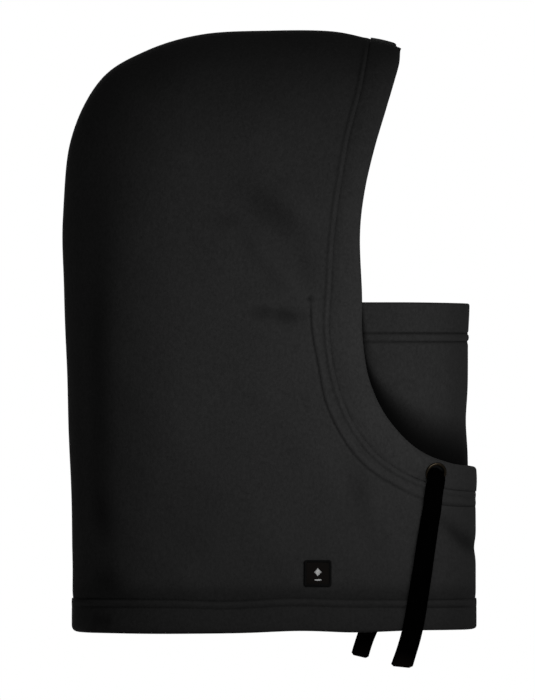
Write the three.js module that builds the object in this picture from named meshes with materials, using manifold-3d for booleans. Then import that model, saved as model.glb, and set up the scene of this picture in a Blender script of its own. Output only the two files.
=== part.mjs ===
// A fleece balaclava: a hood that covers head and neck, with a drawcord in a casing round the
// face opening and a mask panel standing inside the front of the neck.
// Frame, in millimetres: +X is the way the wearer looks, +Y is the wearer's left, +Z is up.
// The origin is the centre of the neck opening, on the plane of the hem.
import * as THREE from 'three';
import { mergeVertices } from 'three/addons/utils/BufferGeometryUtils.js';
import Module from 'manifold-3d';

// ---- driving dimensions ----
const FRONT_X = 141.8;         // front of the neck
const NECK_BACK_X = -141.5;    // back of the neck, at the hem
const BACK_CURVE = 85;         // how far in from back and crown the hood rounds off
const FRONT_CURVE = 60;        // how far in from the front of the neck it rounds off
const NECK_HALF_WIDTH = 62;
const HEAD_HALF_WIDTH = 67;
const CHIN_Z = 120;            // the hood widens from chin to temple
const TEMPLE_Z = 300;
const FLEECE = 1.8;            // one layer of fleece
const SEAM = 0.4;              // gap where two pieces are sewn edge to edge
const CENTRE_GAP = 0.2;        // each half stays this far from the middle plane

const HEM_HEIGHT = 22.4;
const HEM_THICK = 3.4;         // two layers, sewn flat
const CASING_LAYER = 1.3;      // fleece of the casing, pressed thin by its stitching
const CHANNEL = 2.6;           // clear depth of the cord channel
const CASING_EDGE = 1.5;       // solid edge beside the channel, where the stitching runs

const CORD_WIDTH = 14.4;
const CORD_THICK = 1.2;
const CORD_CHANNEL_END = 0.87;  // how far along the casing the hidden cord reaches
const CORD_ROOM = 0.5;         // free space beside the cord inside its channel
const TAIL_THICK = 1.6;
const TAIL_CLEAR = 0.9;        // gap between the tail and the eyelet's flange
const TAIL_HANG = 2.5;         // how far the tail's inner edge may hang in from its middle
const TAIL_SECTIONS = 26;
const EYELET_OUTER = 7.7;      // radius over the flange
const EYELET_HOLE = 5.7;       // radius of the clear hole
const EYELET_BARREL = 6.2;
const EYELET_CUT = 6.6;        // radius of the hole cut in the casing
const FLANGE_THICK = 1.1;
const WASHER_OUTER = 6.9;
const EYELET_AT = [112.4, 111.8];
const EYELET_LIFT = 0.3;       // gap between the flange and the fleece
const BARREL_PAST = 0.7;       // how far the barrel reaches behind the fleece
const FLANGE_EDGE = 0.2;       // rounding of the flange's outer edge
const FLANGE_SHOULDER = 1.1;   // how far in the flange's top begins
const FLANGE_MOUTH = 0.3;      // rounding where the flange turns into the hole
const WASHER_BEHIND = 1.1;     // how far behind the fleece the washer lies
const WASHER_THICK = 0.6;

const MASK_FRONT_X = 136.2;
const MASK_HALF_WIDTH = 54;
const MASK_CURVE = 54;
const MASK_BACK_X = 30;
const MASK_TOP_Z = 230;
const MASK_HEM_Z = 202.6;
const MASK_HEM_THICK = 3.2;

const LABEL_SIZE = 18.2;
const LABEL_AT = [30.5, 41.6];
const LABEL_THICK = 0.9;
const LABEL_LIFT = 0.3;        // gap between the label and the fleece
const TAPE_HALF_WIDTH = 5;
const TAPE_THICK = 0.9;
const TAPE_CLEAR = 0.8;
const CARE_LABEL = { x: -136.5, thick: 0.6, halfWidth: 9, low: 36, high: 70 };

const CROWN_SAMPLES = 160;     // straight steps that stand for the back and crown outline
const NORMAL_STEP = 0.5;       // how far apart the surface is sampled for its direction
const TIP_BEFORE_CROWN_END = 23;  // the panel's tip stops beside the casing, before the crown's end

// ---- outlines in the side view, [x, z] ----
const BACK_AND_CROWN = [[-141.5, 0], [-142, 85], [-145, 170], [-147.5, 240], [-148.3, 290],
  [-143, 343], [-122.5, 386], [-91, 406.8], [-50, 418.9], [0, 421.5], [40, 421], [66, 416],
  [86, 411.5]];
const CASING_SEAM = [[67.8, 416.2], [61.6, 381], [52.5, 345], [46.3, 310], [42, 277], [40, 244],
  [38.4, 214], [41.2, 188], [48, 162.5], [58.5, 141.4], [74, 123], [95, 109.7], [119, 101.2],
  [141.9, 98.5]];
const OPENING_EDGE = [[86.2, 412.2], [86.2, 398], [78.4, 369], [69.3, 337.4], [62.3, 306], [59.3, 276],
  [60.6, 236], [61, 206], [65.8, 176.4], [77, 151.8], [92.4, 134.5], [108.5, 123.6], [125, 118],
  [141.9, 115.5]];
const MASK_SEAM = [[30, 190], [39.5, 157.5], [51.8, 137.5], [70.7, 118.5], [89.6, 105],
  [110, 97], [136.2, 93]];

// Middle of the near tail, [x, z]; its distance from the hood is worked out from the surface.
const TAIL_ROUTE = [[112.2, 108.5], [111.6, 102], [111, 94], [110, 85], [108.4, 76], [106.8, 66],
  [105, 55], [103.4, 44], [101.7, 33], [99.9, 21], [98.1, 10], [95.9, 0], [92.9, -10.5],
  [88.6, -23.4]];
// The far tail leans further back as it falls.
const FAR_TAIL_ROUTE = [[112.2, 108.5], [110.8, 102], [107.8, 94], [104.2, 85], [100.4, 76],
  [96.3, 66], [91.7, 55], [87, 44], [82, 33], [76.4, 21], [71, 10], [66.4, 0], [63.2, -9],
  [60.4, -18.4]];

const RIGHT = -1;
const LEFT = 1;

// ---- curves ----
const outline = (points) => new THREE.SplineCurve(points.map(([x, z]) => new THREE.Vector2(x, z)));
const crown = outline(BACK_AND_CROWN);
const casingSeam = outline(CASING_SEAM);
const openingEdge = outline(OPENING_EDGE);
const maskSeam = outline(MASK_SEAM);
const crownPoints = crown.getSpacedPoints(CROWN_SAMPLES);

const steps = (count) => Array.from({ length: count + 1 }, (_, i) => i / count);
// Steps that crowd together at both ends, where the surface turns quickly.
const easedSteps = (count) => steps(count).map((t) => (1 - Math.cos(Math.PI * t)) / 2);
// Places along the casing seam that the casing and the panel beside it share.
const CASING_STATIONS = easedSteps(30);

// Distance of a side-view point in from the back and crown outline.
function depthFromCrown(x, z) {
  let best = Infinity;
  let sign = 1;
  for (let i = 1; i < crownPoints.length; i += 1) {
    const a = crownPoints[i - 1];
    const b = crownPoints[i];
    const ex = b.x - a.x;
    const ez = b.y - a.y;
    const t = ((x - a.x) * ex + (z - a.y) * ez) / (ex * ex + ez * ez);
    const along = Math.min(1, Math.max(0, t));
    const dx = x - a.x - along * ex;
    const dz = z - a.y - along * ez;
    const distance = Math.hypot(dx, dz);
    if (distance < best) {
      best = distance;
      sign = ez * dx - ex * dz >= 0 ? 1 : -1;
    }
  }
  return best * sign;
}

// Square of a quarter ellipse: 0 at the edge, 1 from the given reach on.
function roundedSquare(distance, reach) {
  if (distance >= reach) return 1;
  const rest = 1 - distance / reach;
  return 1 - rest * rest;
}

function halfWidth(z) {
  const t = THREE.MathUtils.smoothstep(z, CHIN_Z, TEMPLE_Z);
  return NECK_HALF_WIDTH + (HEAD_HALF_WIDTH - NECK_HALF_WIDTH) * t;
}

function squaredReach(x, z) {
  return roundedSquare(depthFromCrown(x, z), BACK_CURVE) * roundedSquare(FRONT_X - x, FRONT_CURVE);
}

// Half the width of the hood at a side-view point.
function hoodHalfWidth(x, z) {
  return halfWidth(z) * Math.sqrt(Math.max(0, squaredReach(x, z)));
}

// Outward direction of the hood's surface.
function hoodNormal(x, y, z) {
  const level = (px, py, pz) => (py / halfWidth(pz)) ** 2 - squaredReach(px, pz);
  const h = NORMAL_STEP;
  return new THREE.Vector3(
    level(x + h, y, z) - level(x - h, y, z),
    level(x, y + h, z) - level(x, y - h, z),
    level(x, y, z + h) - level(x, y, z - h),
  ).normalize();
}

// A point on one half of the hood, moved the given depth inwards (outwards if negative).
function onHood(x, z, side, depth = 0) {
  const y = hoodHalfWidth(x, z);
  const normal = hoodNormal(x, y, z);
  const inner = Math.max(0, y - normal.y * depth);
  return new THREE.Vector3(x - normal.x * depth, side * (inner + CENTRE_GAP), z - normal.z * depth);
}

// A point on the mask's outer face, at a distance along its plan outline from its middle.
function maskPlan(t, depth) {
  const straight = MASK_FRONT_X - MASK_CURVE - MASK_BACK_X;
  const quarter = (Math.PI / 2) * MASK_CURVE;
  const along = Math.abs(t) * (straight + quarter);
  const side = Math.sign(t);
  if (along > quarter) {
    const x = MASK_FRONT_X - MASK_CURVE - (along - quarter);
    return new THREE.Vector2(x, side * (MASK_HALF_WIDTH - depth));
  }
  const angle = along / MASK_CURVE;
  const x = MASK_FRONT_X - MASK_CURVE + (MASK_CURVE - depth) * Math.cos(angle);
  return new THREE.Vector2(x, side * (MASK_HALF_WIDTH - depth) * Math.sin(angle));
}

// ---- solids ----
// A closed solid between two grids of points of the same size. A ring closes along its columns.
function plate(outer, inner, { ringRows = false, ringColumns = false } = {}) {
  const rows = outer.length;
  const columns = outer[0].length;
  const points = [...outer.flat(), ...inner.flat()];
  const index = [];
  const at = (layer, i, j) => layer * rows * columns + (i % rows) * columns + (j % columns);
  const quad = (a, b, c, d) => index.push(a, b, c, a, c, d);
  const rowSpans = ringRows ? rows : rows - 1;
  const columnSpans = ringColumns ? columns : columns - 1;
  for (let i = 0; i < rowSpans; i += 1) {
    for (let j = 0; j < columnSpans; j += 1) {
      quad(at(0, i, j), at(0, i + 1, j), at(0, i + 1, j + 1), at(0, i, j + 1));
      quad(at(1, i, j), at(1, i, j + 1), at(1, i + 1, j + 1), at(1, i + 1, j));
    }
  }
  for (let j = 0; j < columnSpans && !ringRows; j += 1) {
    quad(at(0, 0, j), at(0, 0, j + 1), at(1, 0, j + 1), at(1, 0, j));
    quad(at(0, rows - 1, j + 1), at(0, rows - 1, j), at(1, rows - 1, j), at(1, rows - 1, j + 1));
  }
  for (let i = 0; i < rowSpans && !ringColumns; i += 1) {
    quad(at(0, i + 1, 0), at(0, i, 0), at(1, i, 0), at(1, i + 1, 0));
    quad(at(0, i, columns - 1), at(0, i + 1, columns - 1), at(1, i + 1, columns - 1),
      at(1, i, columns - 1));
  }
  return facingOut(points, index);
}

function facingOut(points, index) {
  let volume = 0;
  for (let i = 0; i < index.length; i += 3) {
    const [a, b, c] = [points[index[i]], points[index[i + 1]], points[index[i + 2]]];
    volume += a.dot(new THREE.Vector3().crossVectors(b, c));
  }
  const order = volume >= 0 ? index : [...index].reverse();
  const geometry = new THREE.BufferGeometry();
  const numbers = points.flatMap((p) => [p.x, p.y, p.z]);
  geometry.setAttribute('position', new THREE.Float32BufferAttribute(numbers, 3));
  geometry.setIndex(order);
  geometry.computeVertexNormals();
  return geometry;
}

const wasm = await Module();
wasm.setup();

function toManifold(geometry) {
  const bare = geometry.clone();
  bare.deleteAttribute('normal');
  bare.deleteAttribute('uv');
  const merged = mergeVertices(bare);
  return new wasm.Manifold(new wasm.Mesh({
    numProp: 3,
    vertProperties: Float32Array.from(merged.attributes.position.array),
    triVerts: Uint32Array.from(merged.index.array),
  }));
}

function cut(geometry, tool) {
  const mesh = toManifold(geometry).subtract(toManifold(tool)).getMesh();
  const result = new THREE.BufferGeometry();
  result.setAttribute('position', new THREE.Float32BufferAttribute(mesh.vertProperties, 3));
  result.setIndex(Array.from(mesh.triVerts));
  result.computeVertexNormals();
  return result;
}

// ---- the pieces ----
// Side-view lines across one side panel: from the back and crown to the front of the neck below,
// and to the casing seam above.
function panelRows() {
  const neckTop = CASING_SEAM.at(-1)[1] - SEAM;
  const bottom = HEM_HEIGHT + SEAM;
  const neckRows = steps(4).map((t) => {
    const z = bottom + (neckTop - bottom) * t;
    return [crown.getPointAt(crownParameterAtHeight(z)), new THREE.Vector2(FRONT_X, z)];
  });
  const lastNeck = crownParameterAtHeight(neckTop);
  const crownEnd = (crown.getLength() - TIP_BEFORE_CROWN_END) / crown.getLength();
  const fanRows = CASING_STATIONS.slice(1, -2).reverse().map((along) => {
    const start = crown.getPointAt(lastNeck + (crownEnd - lastNeck) * (1 - along));
    const end = casingSeam.getPointAt(along);
    const tangent = casingSeam.getTangentAt(along);
    // step back from the seam line, towards the back of the head
    return [start, new THREE.Vector2(end.x + tangent.y * SEAM, end.y - tangent.x * SEAM)];
  });
  return [...neckRows, ...fanRows];
}

function sidePanel(side) {
  const grid = (depth) => panelRows().map(([start, end]) => easedSteps(18).map((t) => {
    const p = start.clone().lerp(end, t);
    return onHood(p.x, p.y, side, depth);
  }));
  return plate(grid(0), grid(FLEECE));
}

function crownParameterAtHeight(z) {
  let low = 0;
  let high = 0.5;
  for (let i = 0; i < 40; i += 1) {
    const middle = (low + high) / 2;
    if (crown.getPointAt(middle).y < z) low = middle;
    else high = middle;
  }
  return low;
}

// Side-view points across the casing at a fraction of its length, from the seam to the opening.
function acrossCasing(t, fraction) {
  return casingSeam.getPointAt(t).lerp(openingEdge.getPointAt(t), fraction);
}

const casingWidth = (t) => casingSeam.getPointAt(t).distanceTo(openingEdge.getPointAt(t));

// The turned edge round one side of the face opening: a flat tube, open at both ends.
function faceCasing(side) {
  const total = CASING_LAYER * 2 + CHANNEL;
  const loop = (t, edge, shallow, deep) => {
    const from = edge / casingWidth(t);
    const outward = steps(4).map((s) => [from + (1 - 2 * from) * s, shallow]);
    const back = steps(4).map((s) => [1 - from - (1 - 2 * from) * s, deep]);
    return [...outward, ...back].map(([across, depth]) => {
      const p = acrossCasing(t, across);
      return onHood(p.x, p.y, side, depth);
    });
  };
  const outer = CASING_STATIONS.map((t) => loop(t, CENTRE_GAP, 0, total));
  const channel = CASING_STATIONS.map((t) => loop(t, CASING_EDGE, CASING_LAYER, CASING_LAYER + CHANNEL));
  const tube = plate(outer, channel, { ringColumns: true });
  return cut(tube, eyeletPunch(side));
}

// The turned and stitched edge round the neck.
function neckHem() {
  const stations = easedSteps(24).map((t) => NECK_BACK_X + (FRONT_X - NECK_BACK_X) * t);
  const around = (z, depth) => {
    const half = (side) => stations.map((x) => {
      const point = onHood(x, z, side, depth);
      return new THREE.Vector3(point.x, point.y - side * CENTRE_GAP, z);
    });
    return [...half(LEFT), ...half(RIGHT).reverse().slice(1, -1)];
  };
  const levels = [0, HEM_HEIGHT / 2, HEM_HEIGHT];
  return plate(levels.map((z) => around(z, 0)), levels.map((z) => around(z, HEM_THICK)),
    { ringColumns: true });
}

// A wall that follows the mask's plan outline, between two heights given as functions of x.
function maskWall(lowZ, highZ, thick, rows) {
  const plan = steps(40).map((t) => 2 * t - 1);
  const grid = (depth) => steps(rows).map((level) => plan.map((t) => {
    const p = maskPlan(t, depth);
    const foot = maskPlan(t, 0);
    const low = lowZ(foot.x);
    return new THREE.Vector3(p.x, p.y, low + (highZ - low) * level);
  }));
  return plate(grid(0), grid(thick));
}

function maskSeamHeight(x) {
  let low = 0;
  let high = 1;
  for (let i = 0; i < 40; i += 1) {
    const middle = (low + high) / 2;
    if (maskSeam.getPoint(middle).x < x) low = middle;
    else high = middle;
  }
  return maskSeam.getPoint(low).y;
}

// The cord inside the casing, from one eyelet over the crown to the other.
function drawcordInCasing() {
  const places = CASING_STATIONS.filter((t) => t < CORD_CHANNEL_END);
  const row = (t, side, depth) => [-1, 0, 1].map((s) => {
    const room = casingWidth(t) / 2 - CASING_EDGE - CORD_ROOM;
    const across = 0.5 + (s * Math.min(CORD_WIDTH / 2, room)) / casingWidth(t);
    const p = acrossCasing(t, across);
    return onHood(p.x, p.y, side, depth);
  });
  const grid = (depth) => [
    ...places.map((t) => row(t, RIGHT, depth)).reverse(),
    ...places.map((t) => row(t, LEFT, depth)),
  ];
  const middle = CASING_LAYER + CHANNEL / 2;
  return plate(grid(middle - CORD_THICK / 2), grid(middle + CORD_THICK / 2));
}

// A free end of the cord, hanging down the outside of the hood.
function drawcordTail(route, side) {
  const curve = outline(route);
  const sections = curve.getSpacedPoints(TAIL_SECTIONS);
  const clear = FLANGE_THICK + TAIL_CLEAR;
  const grid = (outward) => sections.map((p, i) => {
    const tangent = curve.getTangentAt(i / TAIL_SECTIONS);
    const middle = hoodHalfWidth(p.x, Math.max(p.y, 1));
    return [-0.5, 0, 0.5].map((s) => {
      const x = p.x + s * CORD_WIDTH * -tangent.y;
      const z = p.y + s * CORD_WIDTH * tangent.x;
      const lie = Math.max(hoodHalfWidth(x, Math.max(z, 1)), middle - TAIL_HANG);
      return new THREE.Vector3(x, side * (lie + clear + CENTRE_GAP + outward), z);
    });
  });
  return plate(grid(TAIL_THICK), grid(0));
}

// ---- eyelets ----
function eyeletPlacement(side) {
  const [x, z] = EYELET_AT;
  const y = hoodHalfWidth(x, z);
  const normal = hoodNormal(x, y, z);
  normal.y *= side;
  const centre = onHood(x, z, side, 0);
  return { centre, normal };
}

// Stands a turned piece on the hood's surface, its own axis along the surface's normal.
function seat(geometry, side) {
  const { centre, normal } = eyeletPlacement(side);
  const turn = new THREE.Quaternion().setFromUnitVectors(new THREE.Vector3(0, 1, 0), normal);
  geometry.applyQuaternion(turn);
  geometry.translate(centre.x, centre.y, centre.z);
  return geometry;
}

function eyeletPunch(side) {
  const height = 2 * CASING_LAYER + 2;
  return seat(new THREE.CylinderGeometry(EYELET_CUT, EYELET_CUT, height, 24), side);
}

// Turned rings: [radius, height] round the axis, heights counted out from the fleece.
const turned = (profile) => new THREE.LatheGeometry(
  [...profile, profile[0]].map(([r, h]) => new THREE.Vector2(r, h)), 28);

function eyelet(side) {
  const low = EYELET_LIFT;
  const top = low + FLANGE_THICK;
  const barrelEnd = -CASING_LAYER - BARREL_PAST;
  return seat(turned([[EYELET_HOLE, barrelEnd], [EYELET_BARREL, barrelEnd], [EYELET_BARREL, low],
    [EYELET_OUTER - FLANGE_EDGE, low], [EYELET_OUTER, low + FLANGE_EDGE],
    [EYELET_OUTER - FLANGE_SHOULDER / 2, top - FLANGE_EDGE / 2], [EYELET_OUTER - FLANGE_SHOULDER, top],
    [EYELET_HOLE + FLANGE_MOUTH, top - FLANGE_MOUTH]]), side);
}

function eyeletWasher(side) {
  const top = -CASING_LAYER - WASHER_BEHIND;
  const bottom = top - WASHER_THICK;
  return seat(turned([[EYELET_HOLE, bottom], [WASHER_OUTER - FLANGE_EDGE, bottom],
    [WASHER_OUTER, top - WASHER_THICK / 2], [WASHER_OUTER - FLANGE_EDGE, top],
    [EYELET_HOLE, top]]), side);
}

// ---- small pieces ----
function sideLabel() {
  const [cx, cz] = LABEL_AT;
  const grid = (out) => steps(6).map((v) => steps(6).map((u) => onHood(
    cx + (u - 0.5) * LABEL_SIZE, cz + (v - 0.5) * LABEL_SIZE, RIGHT, -out)));
  return plate(grid(LABEL_LIFT + LABEL_THICK), grid(LABEL_LIFT));
}

// Follows the panels' own rows, flat against the seam inside the hood.
function seamTape() {
  const middle = panelRows().slice(1, -3).map(([start]) => start);
  const grid = (depth) => middle.map((p, i) => {
    const before = middle[Math.max(0, i - 1)];
    const after = middle[Math.min(middle.length - 1, i + 1)];
    const along = after.clone().sub(before).normalize();
    return [-1, 0, 1].map((s) => new THREE.Vector3(
      p.x + along.y * depth, s * TAPE_HALF_WIDTH, p.y - along.x * depth));
  });
  const lie = FLEECE + TAPE_CLEAR;
  return plate(grid(lie), grid(lie + TAPE_THICK));
}

function careLabel() {
  const face = (x) => [CARE_LABEL.low, CARE_LABEL.high].map(
    (z) => [-1, 1].map((s) => new THREE.Vector3(x, s * CARE_LABEL.halfWidth, z)));
  return plate(face(CARE_LABEL.x), face(CARE_LABEL.x + CARE_LABEL.thick));
}

// ---- finishes and assembly ----
const fleece = (hex) => new THREE.MeshStandardMaterial({ color: hex, roughness: 0.95, metalness: 0 });
const finishes = {
  panel: fleece(0x1f2022),
  edge: fleece(0x2a2b2d),
  mask: fleece(0x242527),
  cord: new THREE.MeshStandardMaterial({ color: 0x08090a, roughness: 0.8, metalness: 0 }),
  brass: new THREE.MeshStandardMaterial({ color: 0x4a3a26, roughness: 0.35, metalness: 1 }),
  label: new THREE.MeshStandardMaterial({ color: 0x1a1613, roughness: 0.7, metalness: 0 }),
  tape: new THREE.MeshStandardMaterial({ color: 0x17181a, roughness: 0.9, metalness: 0 }),
  paper: new THREE.MeshStandardMaterial({ color: 0xd8d8d4, roughness: 0.6, metalness: 0 }),
};

const group = new THREE.Group();

function add(name, geometry, finish) {
  const mesh = new THREE.Mesh(geometry, finish);
  mesh.name = name;
  group.add(mesh);
}

for (const [word, side, route] of [['right', RIGHT, TAIL_ROUTE], ['left', LEFT, FAR_TAIL_ROUTE]]) {
  add(`${word}_side_panel`, sidePanel(side), finishes.panel);
  add(`${word}_face_casing`, faceCasing(side), finishes.edge);
  add(`${word}_eyelet`, eyelet(side), finishes.brass);
  add(`${word}_eyelet_washer`, eyeletWasher(side), finishes.brass);
  add(`${word}_drawcord_tail`, drawcordTail(route, side), finishes.cord);
}
add('neck_hem', neckHem(), finishes.edge);
add('mask_panel', maskWall(maskSeamHeight, MASK_HEM_Z, FLEECE, 5), finishes.mask);
add('mask_top_hem', maskWall(() => MASK_HEM_Z + SEAM, MASK_TOP_Z, MASK_HEM_THICK, 1), finishes.edge);
add('drawcord_in_casing', drawcordInCasing(), finishes.cord);
add('side_label', sideLabel(), finishes.label);
add('crown_seam_tape', seamTape(), finishes.tape);
add('care_label', careLabel(), finishes.paper);

export default group;
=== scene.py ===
"""A black fleece balaclava: hood, drawn face opening, inner face mask and stitched neck hem."""

import logging
import math
from dataclasses import dataclass, field
from enum import Enum

import bpy
import numpy as np
from mathutils import Matrix, Vector


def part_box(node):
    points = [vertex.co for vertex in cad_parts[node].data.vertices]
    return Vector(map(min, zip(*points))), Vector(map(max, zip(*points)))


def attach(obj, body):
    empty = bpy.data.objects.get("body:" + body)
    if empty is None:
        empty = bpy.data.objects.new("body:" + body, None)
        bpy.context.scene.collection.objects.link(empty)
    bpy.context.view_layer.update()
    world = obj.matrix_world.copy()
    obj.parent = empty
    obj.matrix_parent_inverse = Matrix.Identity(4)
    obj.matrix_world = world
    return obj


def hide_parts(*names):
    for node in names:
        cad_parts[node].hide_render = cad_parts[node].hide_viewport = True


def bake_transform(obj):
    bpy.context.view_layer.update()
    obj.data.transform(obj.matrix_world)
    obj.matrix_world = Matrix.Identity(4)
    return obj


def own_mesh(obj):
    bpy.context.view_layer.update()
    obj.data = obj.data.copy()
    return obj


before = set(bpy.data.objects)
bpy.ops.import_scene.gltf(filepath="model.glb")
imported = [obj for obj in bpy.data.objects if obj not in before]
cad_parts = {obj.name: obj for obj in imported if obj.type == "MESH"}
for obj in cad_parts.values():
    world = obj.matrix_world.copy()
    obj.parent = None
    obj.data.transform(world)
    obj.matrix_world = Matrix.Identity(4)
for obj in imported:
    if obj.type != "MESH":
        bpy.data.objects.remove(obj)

MM = 0.001
LOG = logging.getLogger("balaclava")

Points = np.ndarray
OutlineMM = list[tuple[float, float]]

# Lines of the pattern in the side view, (x, z) in millimetres, as the frame holds them.
BACK_AND_CROWN: OutlineMM = [
    (-141.5, 0), (-142, 85), (-145, 170), (-147.5, 240), (-148.3, 290), (-143, 343), (-122.5, 386),
    (-91, 406.8), (-50, 418.9), (0, 421.5), (40, 421), (66, 416), (86, 411.5)]
CASING_SEAM: OutlineMM = [
    (67.8, 416.2), (61.6, 381), (52.5, 345), (46.3, 310), (42, 277), (40, 244), (38.4, 214),
    (41.2, 188), (48, 162.5), (58.5, 141.4), (74, 123), (95, 109.7), (119, 101.2), (141.9, 98.5)]
OPENING_EDGE: OutlineMM = [
    (86.2, 412.2), (86.2, 398), (78.4, 369), (69.3, 337.4), (62.3, 306), (59.3, 276), (60.6, 236),
    (61, 206), (65.8, 176.4), (77, 151.8), (92.4, 134.5), (108.5, 123.6), (125, 118), (141.9, 115.5)]
MASK_ATTACH_SEAM: OutlineMM = [
    (24.9, 232), (25.9, 211), (30.2, 187), (34.6, 164), (41.8, 146), (53, 127.4), (67, 113),
    (84, 102.6), (101, 94.4), (120, 89.6), (142, 88)]
MASK_FOOT: OutlineMM = [
    (30, 190), (39.5, 157.5), (51.8, 137.5), (70.7, 118.5), (89.6, 105), (110, 97), (136.2, 93)]
NEAR_TAIL: OutlineMM = [
    (112.2, 108.5), (111.6, 102), (111, 94), (110, 85), (108.4, 76), (106.8, 66), (105, 55),
    (103.4, 44), (101.7, 33), (99.9, 21), (98.1, 10), (95.9, 0), (92.9, -10.5), (88.6, -23.4)]
FAR_TAIL: OutlineMM = [
    (112.2, 108.5), (110.8, 102), (107.8, 94), (104.2, 85), (100.4, 76), (96.3, 66), (91.7, 55),
    (87, 44), (82, 33), (76.4, 21), (71, 10), (66.4, 0), (63.2, -9), (60.4, -18.4)]

EYELET_AT = (112.4, 111.8)


class Side(Enum):
    """Which half of the hood a piece belongs to, as the wearer has it."""

    RIGHT = -1
    LEFT = 1

    @property
    def word(self) -> str:
        """The side's name in piece names."""
        return self.name.lower()


# ---------------------------------------------------------------- lines and surfaces


def spline(points: OutlineMM, samples: int = 400) -> Points:
    """Run a smooth line through given points.

    Args:
        points: (x, z) in millimetres.
        samples: How many points the line gets.

    Returns:
        The line's points in metres, evenly spaced, as an (n, 2) array.
    """
    known = np.array(points, float) * MM
    last = len(known) - 1
    t = np.linspace(0, last, samples * 4)
    i = np.minimum(t.astype(int), last - 1)
    w = (t - i)[:, None]
    p0, p1 = known[np.maximum(i - 1, 0)], known[i]
    p2, p3 = known[i + 1], known[np.minimum(i + 2, last)]
    v0, v1 = (p2 - p0) / 2, (p3 - p1) / 2
    line = (2 * p1 - 2 * p2 + v0 + v1) * w**3 + (3 * p2 - 3 * p1 - 2 * v0 - v1) * w**2 + v0 * w + p1
    return along(line, np.linspace(0, 1, samples))


def along(line: Points, fractions: Points) -> Points:
    """Take points of a line at fractions of its length.

    Args:
        line: (n, k) points.
        fractions: Places from 0, the start, to 1, the end.

    Returns:
        One point for each fraction.
    """
    step = np.linalg.norm(np.diff(line, axis=0), axis=1)
    run = np.concatenate([[0], np.cumsum(step)])
    return np.stack([np.interp(fractions * run[-1], run, line[:, k]) for k in range(line.shape[1])], 1)


def measure(line: Points, x: Points, z: Points) -> tuple[Points, Points]:
    """Measure points of the side view against a line.

    Args:
        line: (n, 2) points of the line.
        x: Places along X.
        z: Heights.

    Returns:
        The signed distance of each point, above zero on the line's right, and how far along it lies.
    """
    a, b = line[:-1], line[1:]
    edge = b - a
    best = np.full(x.shape, np.inf)
    signed = np.zeros(x.shape)
    place = np.zeros(x.shape)
    for k, (start, run) in enumerate(zip(a, edge)):
        dx, dz = x - start[0], z - start[1]
        t = np.clip((dx * run[0] + dz * run[1]) / (run @ run), 0, 1)
        ox, oz = dx - t * run[0], dz - t * run[1]
        d = np.hypot(ox, oz)
        nearer = d < best
        best = np.where(nearer, d, best)
        signed = np.where(nearer, np.where(run[1] * ox - run[0] * oz >= 0, d, -d), signed)
        place = np.where(nearer, (k + t) / len(a), place)
    return signed, place


def smooth(t: Points) -> Points:
    """Ease from 0 to 1."""
    t = np.clip(t, 0, 1)
    return t * t * (3 - 2 * t)


def bump(distance: Points, reach: float) -> Points:
    """A soft bump, 1 at the middle and fading over its reach."""
    return np.exp(-((distance / reach) ** 2))


@dataclass(frozen=True)
class Fold:
    """A soft ridge or valley in the cloth, in millimetres of the side view.

    A height above zero is a ridge, and below zero a valley. A fold's share given by name darkens the cloth's
    colour along it: painted shade in the crease.
    """

    start: tuple[float, float]
    end: tuple[float, float]
    reach: float
    height: float
    lead_in: float = 0.35
    painted_shade: float = 0.0

    def shape(self, x: Points, z: Points) -> Points:
        """How strongly the fold shows, from 0 to 1.

        Args:
            x: Places along X, in metres.
            z: Heights, in metres.

        Returns:
            The share of the fold's full height at each point.
        """
        a, b = np.array(self.start) * MM, np.array(self.end) * MM
        run = b - a
        t = ((x - a[0]) * run[0] + (z - a[1]) * run[1]) / (run @ run)
        held = np.clip(t, 0, 1)
        d = np.hypot(x - a[0] - held * run[0], z - a[1] - held * run[1])
        beyond = np.abs(t - held) * np.linalg.norm(run)
        ends = smooth(np.minimum(held, 1 - held) / self.lead_in) * 0.8 + 0.2
        return bump(d, self.reach * MM) * ends * bump(beyond, self.reach * 1.4 * MM)

    def lift(self, x: Points, z: Points) -> Points:
        """How far the fold lifts the cloth, in metres."""
        return self.height * MM * self.shape(x, z)


# Folds that both halves share, because they reach the middle seams.
# Shares given by name darken the cloth along their folds: painted shade in the creases.
SHARED_FOLDS = [
    Fold((-127, 345), (-125, 225), 13, -1.4, 0.5, painted_shade=0.16),
    Fold((-126.4, 262), (-125.5, 84), 9, -2.4, 0.3, painted_shade=0.36),
    Fold((-127, 116), (-119, 50), 8, -2.4, 0.5, painted_shade=0.46),
    Fold((-132, 46), (-104, 26), 10, -1.4, 0.5, painted_shade=0.5),
    Fold((-128, 10), (-112, 7), 6, 0, 0.2, painted_shade=0.4),
    Fold((-138, 215), (-137, 60), 5, 0.8),
    Fold((112, 84), (146, 53), 5, -1.8, 0.5, painted_shade=0.46),
    Fold((126, 66), (152, 55), 5.5, -0.6, 0.5, painted_shade=0.5),
    Fold((108, 66), (128, 42), 6, 1.4, 0.2),
]
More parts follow.
